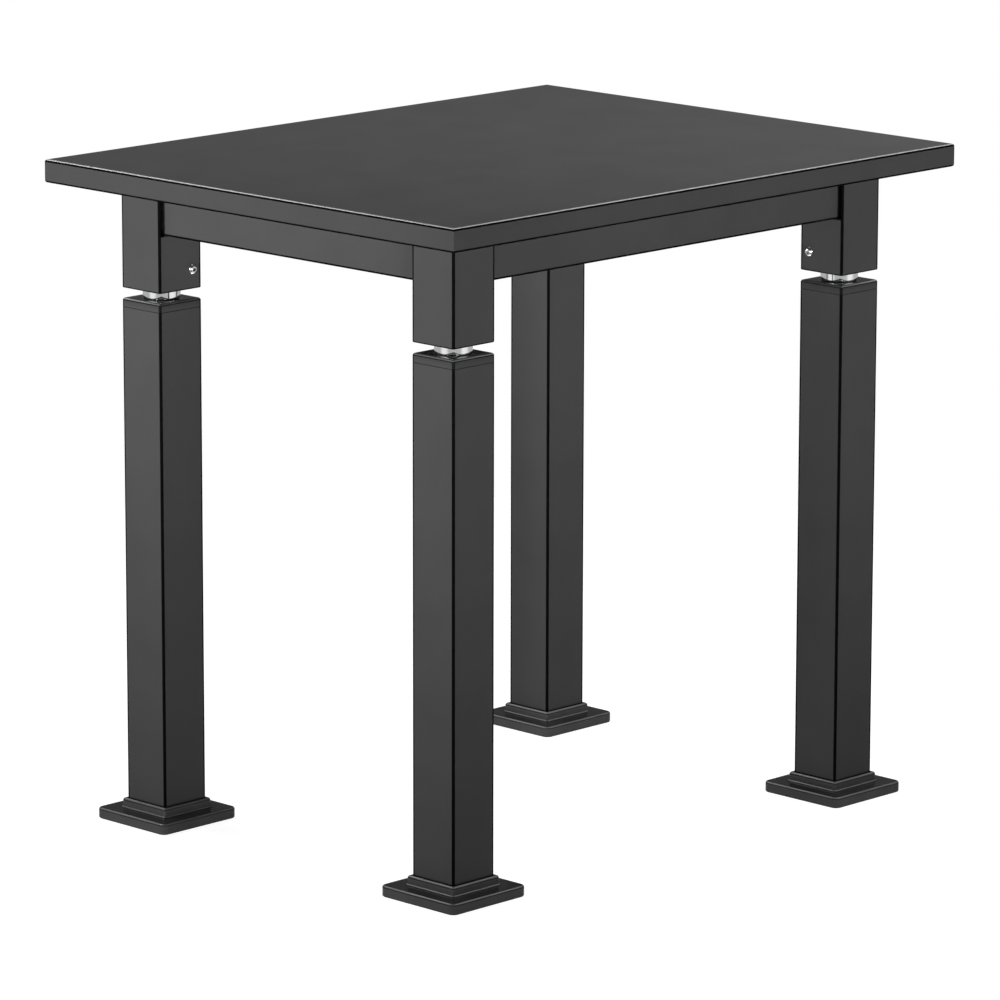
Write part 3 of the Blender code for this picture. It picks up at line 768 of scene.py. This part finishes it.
def darker_where(tree, shader, factor, colour):
    """Paints shade: lays a dark colour over the base colour where the factor falls to 0."""
    base = shader.inputs["Base Color"]
    mix = tree.nodes.new("ShaderNodeMix")
    mix.data_type = "RGBA"
    tree.links.new(factor, mix.inputs["Factor"])
    mix.inputs["A"].default_value = (*(channel * EDGE_SHADE for channel in colour), 1)
    tree.links.new(base.links[0].from_socket, mix.inputs["B"])
    tree.links.new(mix.outputs["Result"], base)


def dull_where(tree, shader, factor):
    """Takes the gloss off where the factor falls to 0."""
    gloss = shader.inputs["Specular IOR Level"]
    if gloss.links:
        left = combine(tree, "MULTIPLY", gloss.links[0].from_socket, factor)
    else:
        left = ramp(tree, factor, (0.0, 1.0), (0.0, gloss.default_value))
    tree.links.new(left, gloss)


def dark_lines(tree, shader, factor, colour):
    """Lays dull dark lines of painted shade where the factor falls to 0."""
    darker_where(tree, shader, factor, colour)
    dull_where(tree, shader, factor)


def coated(name, colour, rough, specular, grain, peel):
    """A dull painted surface: faint mottling, a fine sprayed grain and a broader unevenness."""
    made, tree, shader, spot = new_material(name)
    mottle = noise(tree, spot, MOTTLE_SCALE, detail=4)
    fine = noise(tree, spot, grain, detail=2)
    broad = noise(tree, spot, peel, detail=2)
    roughness = between(tree, fine, (rough - ROUGHNESS_SPREAD, rough + ROUGHNESS_SPREAD))
    normal = bump(tree, fine, GRAIN_DEPTH, GRAIN_STRENGTH)
    tree.links.new(shades(tree, mottle, colour, SHADE_SPREAD), shader.inputs["Base Color"])
    tree.links.new(roughness, shader.inputs["Roughness"])
    tree.links.new(bump(tree, broad, PEEL_DEPTH, PEEL_STRENGTH, normal), shader.inputs["Normal"])
    shader.inputs["Specular IOR Level"].default_value = specular
    return made


def corner_nearness(tree):
    """The smaller distance from a square tube's axis in plan, which is greatest at its corners."""
    x, y, _ = sizes_by_axis(tree, tree.nodes["Texture Coordinate"].outputs["Object"])
    return combine(tree, "MINIMUM", x, y)


def lower_edges(tree, places):
    """0 on rounded lower edges, where shade is painted, 1 elsewhere."""
    return turned(tree, band(tree, upwardness(tree), places))


def powder_coat(name, colour, edge_shade_share, slot):
    """The coat of the frame, with painted shade: darker over its edges and lower edges, and dark in slots."""
    made = coated(name, colour, COAT_ROUGHNESS, COAT_SPECULAR, COAT_GRAIN_SCALE, COAT_PEEL_SCALE)
    tree = made.node_tree
    # Painted shade on the rounded edges, deep in slots and on the rounded lower edges.
    plain = ramp(tree, squareness(tree, EDGE_WIDTH), SQUARE, (edge_shade_share, 1.0))
    open_part = ramp(tree, openness(tree, slot[0]), slot[1:], (0.0, 1.0))
    for other in (open_part, lower_edges(tree, RAIL_LOWER_EDGE)):
        plain = combine(tree, "MINIMUM", plain, other)
    dark_lines(tree, tree.nodes["Principled BSDF"], plain, colour)
    return made


def tube_coat(name, colour, edge_shade_share, slot):
    """The coat of the square tubes: as on the frame, with a dark line of painted shade down each upright
    corner.
    """
    made = powder_coat(name, colour, edge_shade_share, slot)
    tree = made.node_tree
    corners = ramp(tree, corner_nearness(tree), CORNER_LINE, (1.0, 0.0))
    top = ramp(tree, upwardness(tree), TUBE_TOP_LEVEL, (0.0, 1.0))
    plain = combine(tree, "MAXIMUM", corners, top)
    dark_lines(tree, tree.nodes["Principled BSDF"], plain, colour)
    return made


def laminate(colour):
    """The worktop's surface: its upper rounded edges shine over a dark line of painted shade, and the lower
    ones are painted dark.
    """
    made = coated(
        "worktop_laminate", colour, WORKTOP_ROUGHNESS, WORKTOP_SPECULAR,
        WORKTOP_GRAIN_SCALE, WORKTOP_PEEL_SCALE)
    tree = made.node_tree
    shader = tree.nodes["Principled BSDF"]
    upward = upwardness(tree)
    bright = band(tree, upward, EDGE_BRIGHT)
    gloss = ramp(tree, bright, (0.0, 1.0), (WORKTOP_SPECULAR, EDGE_SPECULAR))
    tree.links.new(gloss, shader.inputs["Specular IOR Level"])
    # Painted shade: a dark line under each edge highlight, and on the lower edges.
    below = turned(tree, band(tree, upward, EDGE_DARK))
    lines = combine(tree, "MINIMUM", below, lower_edges(tree, TOP_LOWER_EDGE))
    dark_lines(tree, shader, lines, colour)
    return made


def cap_coating(colour):
    """The coat of a leg's cap: dull on its sides, a bright line on its upper edge over a dark line of painted
    shade, and glossy on top.
    """
    made = tube_coat("cap_coat", colour, LEG_EDGE_SHARE, SLOT)
    tree = made.node_tree
    shader = tree.nodes["Principled BSDF"]
    upward = upwardness(tree)
    level = ramp(tree, upward, CAP_TOP_LEVEL, (0.0, 1.0))
    polish = noise(tree, tree.nodes["Texture Coordinate"].outputs["Object"], CAP_POLISH_SCALE, detail=2)
    rough_side = shader.inputs["Roughness"].links[0].from_socket
    glossy_top = between(tree, polish, CAP_TOP_ROUGHNESS)
    tree.links.new(mixed(tree, level, rough_side, glossy_top), shader.inputs["Roughness"])
    # Painted shade: a dark line below the bright line on the upper edge.
    darker_where(tree, shader, turned(tree, band(tree, upward, CAP_EDGE_DARK)), colour)
    bright = band(tree, upward, CAP_EDGE_BRIGHT)
    edge = ramp(tree, bright, (0.0, 1.0), (COAT_SPECULAR, CAP_EDGE_SPECULAR))
    top = ramp(tree, level, (0.0, 1.0), (COAT_SPECULAR, CAP_TOP_SPECULAR))
    tree.links.new(combine(tree, "MAXIMUM", edge, top), shader.inputs["Specular IOR Level"])
    reliefs = [node for node in tree.nodes if node.bl_idname == "ShaderNodeBump"]
    for relief in reliefs:
        strength = relief.inputs["Strength"]
        tree.links.new(ramp(tree, level, (0.0, 1.0), (strength.default_value, CAP_TOP_BUMP)), strength)
    return made


def glossy_plastic(colour):
    """Black moulded plastic with a faint ripple: glossy on top, duller on its sides and edges; its tops are
    painted darker as shade, and dark lines of painted shade run under the edge highlights and on lower edges.
    """
    made, tree, shader, spot = new_material("foot_plastic")
    mottle = noise(tree, spot, PLASTIC_MOTTLE_SCALE, detail=3)
    ripple = noise(tree, spot, RIPPLE_SCALE, detail=2)
    tree.links.new(shades(tree, mottle, colour, PLASTIC_SPREAD), shader.inputs["Base Color"])
    tree.links.new(bump(tree, ripple, RIPPLE_DEPTH, RIPPLE_STRENGTH), shader.inputs["Normal"])
    upward = upwardness(tree)
    edge = band(tree, upward, FOOT_EDGE)
    smooth = between(tree, mottle, PLASTIC_ROUGHNESS)
    rough = between(tree, mottle, PLASTIC_EDGE_ROUGHNESS)
    tree.links.new(mixed(tree, edge, smooth, rough), shader.inputs["Roughness"])
    # Painted shade: the tops are darker than the sides.
    darker_where(tree, shader, ramp(tree, upward, FOOT_TOP_LEVEL, (1.0, FOOT_TOP_SHADE_SHARE)), colour)
    plain = ramp(tree, upward, FOOT_TOP_LEVEL, (FOOT_SIDE_SPECULAR, FOOT_TOP_SPECULAR))
    shine = ramp(tree, edge, (0.0, 1.0), (0.0, FOOT_EDGE_SPECULAR))
    tree.links.new(combine(tree, "MAXIMUM", plain, shine), shader.inputs["Specular IOR Level"])
    # Painted shade: a dark line under each edge highlight, and on the lower edges.
    below = ramp(tree, band(tree, upward, FOOT_EDGE_DARK), (0.0, 1.0), (1.0, FOOT_EDGE_SHADE_SHARE))
    lines = combine(tree, "MINIMUM", below, lower_edges(tree, TOP_LOWER_EDGE))
    dark_lines(tree, shader, lines, colour)
    return made


def plated(name, colour, rough, streak):
    """Bright metal with fine turning lines and small differences in polish."""
    made, tree, shader, spot = new_material(name)
    cloud = noise(tree, spot, CLOUD_SCALE, detail=3)
    lines = noise(tree, stretched(tree, spot, LINE_SCALE), scale=1, detail=3)
    roughness = between(tree, cloud, [rough * share for share in POLISH_SPREAD])
    tree.links.new(shades(tree, cloud, colour, SHADE_SPREAD), shader.inputs["Base Color"])
    tree.links.new(roughness, shader.inputs["Roughness"])
    tree.links.new(bump(tree, lines, LINE_DEPTH, streak), shader.inputs["Normal"])
    shader.inputs["Metallic"].default_value = 1.0
    return made


def geometry_group(name):
    """An empty group of geometry nodes, with its ends."""
    group = bpy.data.node_groups.new(name, "GeometryNodeTree")
    group.interface.new_socket("Geometry", in_out="INPUT", socket_type="NodeSocketGeometry")
    group.interface.new_socket("Geometry", in_out="OUTPUT", socket_type="NodeSocketGeometry")
    source = group.nodes.new("NodeGroupInput")
    target = group.nodes.new("NodeGroupOutput")
    return group, source, target


def smoothing_group():
    """Welds a node's separate triangles and shades them smooth up to the sharp edges."""
    group, source, target = geometry_group("weld_and_smooth")
    weld = group.nodes.new("GeometryNodeMergeByDistance")
    weld.inputs["Distance"].default_value = WELD_DISTANCE
    smooth = group.nodes.new("GeometryNodeSetShadeSmooth")
    angle = group.nodes.new("GeometryNodeInputMeshEdgeAngle")
    sharp = group.nodes.new("FunctionNodeCompare")
    sharp.operation = "GREATER_THAN"
    sharp.inputs["B"].default_value = SMOOTH_ANGLE
    normal = group.nodes.new("GeometryNodeSetMeshNormal")
    normal.mode = "SHARPNESS"
    normal.inputs["Remove Custom"].default_value = True
    group.links.new(source.outputs["Geometry"], weld.inputs["Geometry"])
    group.links.new(weld.outputs["Geometry"], smooth.inputs["Geometry"])
    group.links.new(smooth.outputs["Geometry"], normal.inputs["Mesh"])
    group.links.new(angle.outputs["Unsigned Angle"], sharp.inputs["A"])
    group.links.new(sharp.outputs["Result"], normal.inputs["Edge Sharpness"])
    group.links.new(normal.outputs["Mesh"], target.inputs["Geometry"])
    return group


def weigh_normals(obj):
    """Keeps wide faces flat where a small round meets them."""
    modifier = obj.modifiers.new("weighted", "WEIGHTED_NORMAL")
    modifier.keep_sharp = True
    modifier.weight = NORMAL_WEIGHT


def dress_nodes(frame, finishes):
    """Gives every node its finish by the record's slot, and smooths its rounds."""
    group = smoothing_group()
    slot_of = {part["node"]: part["material_slot"] for part in frame["record"]["subparts"]}
    for name, obj in frame["nodes"].items():
        obj.material_slots[0].material = finishes[slot_of[name]]
        smoother = obj.modifiers.new("weld_and_smooth", "NODES")
        smoother.node_group = group
        weigh_normals(obj)


def add_piece(name, mesh, finish, body, node, location, rotation=(0, 0, 0)):
    """A finer piece that stands for a node and moves with its body."""
    obj = new_object(name, mesh)
    if not mesh.materials:
        mesh.materials.append(finish)
    obj.location = location
    obj.rotation_euler = rotation
    if not mesh.has_custom_normals:
        weigh_normals(obj)
    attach(obj, body)
    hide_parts(node)


def middle_of(node):
    """The middle of a node's box."""
    low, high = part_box(node)
    return (low + high) / 2


def about_axis(node, axis):
    """A node's box with the corner's axis as its origin in plan."""
    low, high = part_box(node)
    shift = Vector((axis.x, axis.y, 0))
    return low - shift, high - shift


def corner_meshes(corner, axis):
    """The meshes of one corner's pieces about its axis, which serve all four corners."""
    def box(kind):
        return about_axis(f"{kind}_{corner}", axis)

    nut_low, nut_high = box("leg_nut")
    ring_low, ring_high = box("retaining_ring")
    rail_low, rail_high = about_axis("apron_front", axis)
    groove = (ring_low.z - SEAT_GAP / 2, ring_high.z + SEAT_GAP)
    screw = middle_of(f"block_screw_{corner}_a") - axis
    return {
        "post": post_mesh(*box("post"), rail_high.y, rail_low.z, screw),
        "leg_tube": tube_mesh(*box("leg_tube")),
        "foot": foot_mesh(*box("foot")),
        "leg_cap": cap_mesh(*box("leg_cap"), (nut_high.x - nut_low.x) / 2),
        "leg_nut": nut_mesh(nut_low, nut_high),
        "adjuster_spindle": spindle_mesh(*box("adjuster_spindle"), nut_high.z + SEAT_GAP, groove),
    }


def fine_pieces(finishes):
    """A finer worktop, posts, legs, feet, nuts, spindles and screws in place of the faceted ones."""
    slab = worktop_mesh(*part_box("table_top"))
    add_piece("fine_table_top", slab, finishes["worktop"], "frame", "table_top", (0, 0, 0))
    meshes = {}
    for corner, quarters in CORNERS.items():
        centre = middle_of(f"leg_tube_{corner}")
        axis = Vector((centre.x, centre.y, 0))
        if not meshes:
            meshes = corner_meshes(corner, axis)
        leg = f"leg_{corner}"
        kinds = {
            "post": ("post_coat", "frame", "coat", quarters),
            "leg_tube": ("leg_coat", leg, "coat", 0),
            "foot": ("plastic", leg, "plastic", 0),
            "leg_cap": ("cap", leg, "cap", 0),
            "leg_nut": ("steel", leg, "steel", 0),
            "adjuster_spindle": ("chrome", f"spindle_{corner}", "chrome", 0),
        }
        for kind, (finish, body, slot, turns) in kinds.items():
            node = f"{kind}_{corner}"
            turn = (0, 0, turns * math.pi / 2)
            add_piece(f"fine_{node}", meshes[kind], finishes[finish], body, node, axis, turn)
        fine_screws(corner, quarters, meshes, finishes)


def fine_rails(finishes):
    """The four rails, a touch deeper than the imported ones."""
    along_x = Matrix(((0, 0, 1), (1, 0, 0), (0, 1, 0))).to_euler()
    along_y = Matrix(((-1, 0, 0), (0, 0, 1), (0, 1, 0))).to_euler()
    for side in ("front", "back", "left", "right"):
        node = f"apron_{side}"
        low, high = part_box(node)
        low = low - Vector((0, 0, RAIL_DROP))
        size = high - low
        middle = (low + high) / 2
        mesh = rail_mesh(min(size.x, size.y), size.z, max(size.x, size.y))
        turn = along_x if size.x > size.y else along_y
        add_piece(f"fine_{node}", mesh, finishes["coat"], "frame", node, middle, turn)


def fine_screws(corner, quarters, meshes, finishes):
    """The two screws in a post's inner faces and the one under its corner plate."""
    turn = Matrix.Rotation(quarters * math.pi / 2, 4, "Z")
    outward = {"block_screw_{}_a": Vector((1, 0, 0)), "block_screw_{}_b": Vector((0, 1, 0))}
    outward["top_screw_{}"] = Vector((0, 0, -1))
    for pattern, local in outward.items():
        node = pattern.format(corner)
        direction = turn @ local
        low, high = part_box(node)
        length = abs((high - low).dot(direction)) - SCREW_HEAD_HEIGHT
        kind = "top_screw" if local.z else "block_screw"
        slot = "steel" if local.z else "chrome"
        if kind not in meshes:
            meshes[kind] = screw_mesh(length)
        middle = (low + high) / 2
        seat = middle + direction * ((length + SCREW_HEAD_HEIGHT) / 2 - SCREW_HEAD_HEIGHT)
        rotation = Vector((0, 0, 1)).rotation_difference(direction).to_euler()
        add_piece(f"fine_{node}", meshes[kind], finishes[slot], "frame", node, seat, rotation)


def camera():
    """The photograph's camera."""
    forward = Vector((math.cos(CAMERA_YAW), math.sin(CAMERA_YAW), -math.tan(CAMERA_PITCH)))
    forward.normalize()
    right = Vector((math.sin(CAMERA_YAW), -math.cos(CAMERA_YAW), 0))
    up = right.cross(forward)
    leant_right = right * math.cos(CAMERA_ROLL) + up * math.sin(CAMERA_ROLL)
    leant_up = up * math.cos(CAMERA_ROLL) - right * math.sin(CAMERA_ROLL)
    data = bpy.data.cameras.new("camera")
    data.sensor_fit = "HORIZONTAL"
    data.sensor_width = SENSOR_WIDTH
    data.lens = LENS
    data.clip_end = CLIP_END
    obj = new_object("camera", data)
    axes = Matrix((leant_right, leant_up, -forward)).transposed().to_4x4()
    obj.matrix_world = Matrix.Translation(CAMERA_PLACE) @ axes
    bpy.context.scene.camera = obj


def background_rays(tree):
    """1 for the rays that show the background: from the camera, or by way of the object."""
    path = tree.nodes.new("ShaderNodeLightPath")
    seen = path.outputs["Is Camera Ray"]
    for name in ("Is Glossy Ray", "Is Transmission Ray"):
        seen = combine(tree, "MAXIMUM", seen, path.outputs[name])
    return seen


def side_of(tree, flat, azimuth):
    """The cosine between a level direction and an azimuth."""
    node = tree.nodes.new("ShaderNodeVectorMath")
    node.operation = "DOT_PRODUCT"
    turn = math.radians(azimuth)
    tree.links.new(flat, node.inputs[0])
    node.inputs[1].default_value = (math.cos(turn), math.sin(turn), 0)
    return node.outputs["Value"]


def mirrored_tone(tree):
    """The surround as the object mirrors it: pale, with two bright sides, and dim high up and behind."""
    spot = tree.nodes.new("ShaderNodeTexCoord").outputs["Generated"]
    axes = tree.nodes.new("ShaderNodeSeparateXYZ")
    tree.links.new(spot, axes.inputs["Vector"])
    flat = levelled(tree, spot)
    tones = (SURROUND_TONE, BRIGHT_SIDE_TONE)
    sides = [ramp(tree, side_of(tree, flat, azimuth), BRIGHT_SIDE_EDGE, tones) for azimuth in BRIGHT_SIDES]
    tone = combine(tree, "MAXIMUM", *sides)
    near = ramp(tree, side_of(tree, flat, SURROUND_NEAR_AZIMUTH), SURROUND_NEAR, (0.0, 1.0))
    low = ramp(tree, axes.outputs["Z"], SURROUND_TOP, (1.0, 0.0))
    below = ramp(tree, axes.outputs["Z"], SURROUND_HORIZON, (1.0, 0.0))
    lit = combine(tree, "MAXIMUM", below, combine(tree, "MULTIPLY", near, low))
    mix = tree.nodes.new("ShaderNodeMix")
    tree.links.new(lit, mix.inputs["Factor"])
    mix.inputs["A"].default_value = SURROUND_ABOVE
    tree.links.new(tone, mix.inputs["B"])
    return mix.outputs["Result"]


def studio_world():
    """A white surround for the camera, a toned one for reflections, and dim light elsewhere."""
    world = bpy.data.worlds.new("studio")
    bpy.context.scene.world = world
    world.use_nodes = True
    tree = world.node_tree
    output = tree.nodes["World Output"]
    ambient = tree.nodes["Background"]
    ambient.inputs["Color"].default_value = (1, 1, 1, 1)
    ambient.inputs["Strength"].default_value = AMBIENT
    path = tree.nodes.new("ShaderNodeLightPath")
    hidden = turned(tree, path.outputs["Is Camera Ray"])
    toned = combine(tree, "MULTIPLY", mirrored_tone(tree), hidden)
    white = tree.nodes.new("ShaderNodeBackground")
    white.inputs["Color"].default_value = (1, 1, 1, 1)
    tree.links.new(combine(tree, "ADD", toned, path.outputs["Is Camera Ray"]), white.inputs["Strength"])
    mix = tree.nodes.new("ShaderNodeMixShader")
    tree.links.new(background_rays(tree), mix.inputs["Fac"])
    tree.links.new(ambient.outputs["Background"], mix.inputs[1])
    tree.links.new(white.outputs["Background"], mix.inputs[2])
    tree.links.new(mix.outputs["Shader"], output.inputs["Surface"])


def floor_group():
    """Lowers the floor to the lowest foot, so that the table stands on it with its legs run out too."""
    group, source, target = geometry_group("under_lowest_foot")
    levels = []
    for corner in CORNERS:
        foot = group.nodes.new("GeometryNodeObjectInfo")
        foot.inputs["Object"].default_value = bpy.data.objects[f"fine_foot_{corner}"]
        axes = group.nodes.new("ShaderNodeSeparateXYZ")
        group.links.new(foot.outputs["Location"], axes.inputs["Vector"])
        levels.append(axes.outputs["Z"])
    lowest = levels[0]
    for level in levels[1:]:
        lowest = combine(group, "MINIMUM", lowest, level)
    shift = group.nodes.new("ShaderNodeCombineXYZ")
    move = group.nodes.new("GeometryNodeTransform")
    group.links.new(lowest, shift.inputs["Z"])
    group.links.new(source.outputs["Geometry"], move.inputs["Geometry"])
    group.links.new(shift.outputs["Vector"], move.inputs["Translation"])
    group.links.new(move.outputs["Geometry"], target.inputs["Geometry"])
    return group


def studio_floor():
    """A pale round floor that fades into the white surround and keeps a soft shadow; in reflections it glows
    as a painted pool of light.
    """
    form = bmesh.new()
    bmesh.ops.create_circle(form, cap_ends=True, radius=FLOOR_RADIUS, segments=TURN_STEPS)
    obj = new_object("floor", mesh_from("floor", form))
    obj.location.z = -FLOOR_GAP
    obj.modifiers.new("under_lowest_foot", "NODES").node_group = floor_group()
    made, tree, shader, spot = new_material("floor_pale")
    shader.inputs["Base Color"].default_value = (*FLOOR_COLOUR, 1)
    shader.inputs["Roughness"].default_value = FLOOR_ROUGHNESS
    shader.inputs["Specular IOR Level"].default_value = 0.0
    path = tree.nodes.new("ShaderNodeLightPath")
    reach = tree.nodes.new("ShaderNodeVectorMath")
    reach.operation = "LENGTH"
    tree.links.new(spot, reach.inputs[0])
    # Painted pool of light: the glow seen in reflections fades out from the middle.
    pool = ramp(tree, reach.outputs["Value"], FLOOR_POOL, (1.0, FLOOR_FAR))
    seen = combine(tree, "MULTIPLY", background_rays(tree), pool)
    glow = tree.nodes.new("ShaderNodeEmission")
    tree.links.new(combine(tree, "MAXIMUM", path.outputs["Is Camera Ray"], seen), glow.inputs["Strength"])
    glow.inputs["Color"].default_value = (*FLOOR_GLOW, 1)
    both = tree.nodes.new("ShaderNodeAddShader")
    tree.links.new(shader.outputs["BSDF"], both.inputs[0])
    tree.links.new(glow.outputs["Emission"], both.inputs[1])
    tree.links.new(both.outputs["Shader"], tree.nodes["Material Output"].inputs["Surface"])
    obj.data.materials.append(made)


def softbox(name, azimuth, elevation, distance, aim, size, power, spread):
    """A rectangular lamp, set by its direction from the point that it looks at."""
    data = bpy.data.lights.new(name, "AREA")
    data.shape = "RECTANGLE"
    data.size, data.size_y = size
    data.energy = power
    data.spread = math.radians(spread)
    obj = new_object(name, data)
    turn = math.radians(azimuth)
    rise = math.radians(elevation)
    away = Vector((math.cos(turn) * math.cos(rise), math.sin(turn) * math.cos(rise), math.sin(rise)))
    obj.location = Vector(aim) + away * distance
    obj.rotation_euler = away.to_track_quat("Z", "Y").to_euler()
    obj.visible_camera = False
    return obj


def studio_lights():
    """Soft lamps round the table; the rear pair lights its back as the front is lit."""
    key = {"elevation": -4, "distance": 3.0, "size": (1.0, 0.24), "power": KEY_POWER, "spread": 46}
    fill = {"elevation": -4, "distance": 4.2, "size": (1.8, 0.24), "power": FILL_POWER, "spread": 31}
    edge = {"elevation": 44, "distance": 2.4, "aim": (0, 0, 0.73), "size": (1.6, 0.5), "spread": 150}
    softbox("key_left", azimuth=187, aim=(-0.2, 0.21, 0.82), **key)
    softbox("fill_right", azimuth=253, aim=(0.1, 0.05, 0.83), **fill)
    key_rear = softbox("key_rear", azimuth=7, aim=(0.2, -0.21, 0.82), **key)
    fill_rear = softbox("fill_rear", azimuth=73, aim=(-0.1, -0.05, 0.83), **fill)
    key_rear.visible_glossy = False
    fill_rear.visible_glossy = False
    softbox("edge_back", azimuth=107, power=BACK_POWER, **edge)
    softbox("edge_right", azimuth=343, power=SIDE_POWER, **edge)
    softbox(
        "underside", azimuth=0, elevation=-90, distance=0.68, aim=(0, 0, 0.70),
        size=(0.45, 0.35), power=UNDER_POWER, spread=36)
    softbox(
        "overhead", azimuth=315, elevation=89, distance=1.3, aim=(0.48, -0.40, 0.73),
        size=(0.8, 0.8), power=TOP_POWER, spread=110)


def main():
    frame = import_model()
    bpy.context.scene.view_settings.view_transform = "Standard"
    camera()
    finishes = {
        "worktop": laminate(WORKTOP_COLOUR),
        "coat": powder_coat("powder_coat", COAT_COLOUR, POST_EDGE_SHARE, SLOT),
        "post_coat": tube_coat("post_powder_coat", COAT_COLOUR, POST_EDGE_SHARE, SLOT),
        "leg_coat": tube_coat("leg_powder_coat", COAT_COLOUR, LEG_EDGE_SHARE, CONTACT),
        "cap": cap_coating(COAT_COLOUR),
        "plastic": glossy_plastic(PLASTIC_COLOUR),
        "chrome": plated("chrome_plate", CHROME_COLOUR, rough=0.05, streak=0.04),
        "steel": plated("plain_steel", STEEL_COLOUR, rough=0.30, streak=0.35),
        "bronze": plated("bearing_bronze", BRONZE_COLOUR, rough=0.32, streak=0.30),
    }
    dress_nodes(frame, finishes)
    fine_pieces(finishes)
    fine_rails(finishes)
    studio_world()
    studio_floor()
    studio_lights()


main()
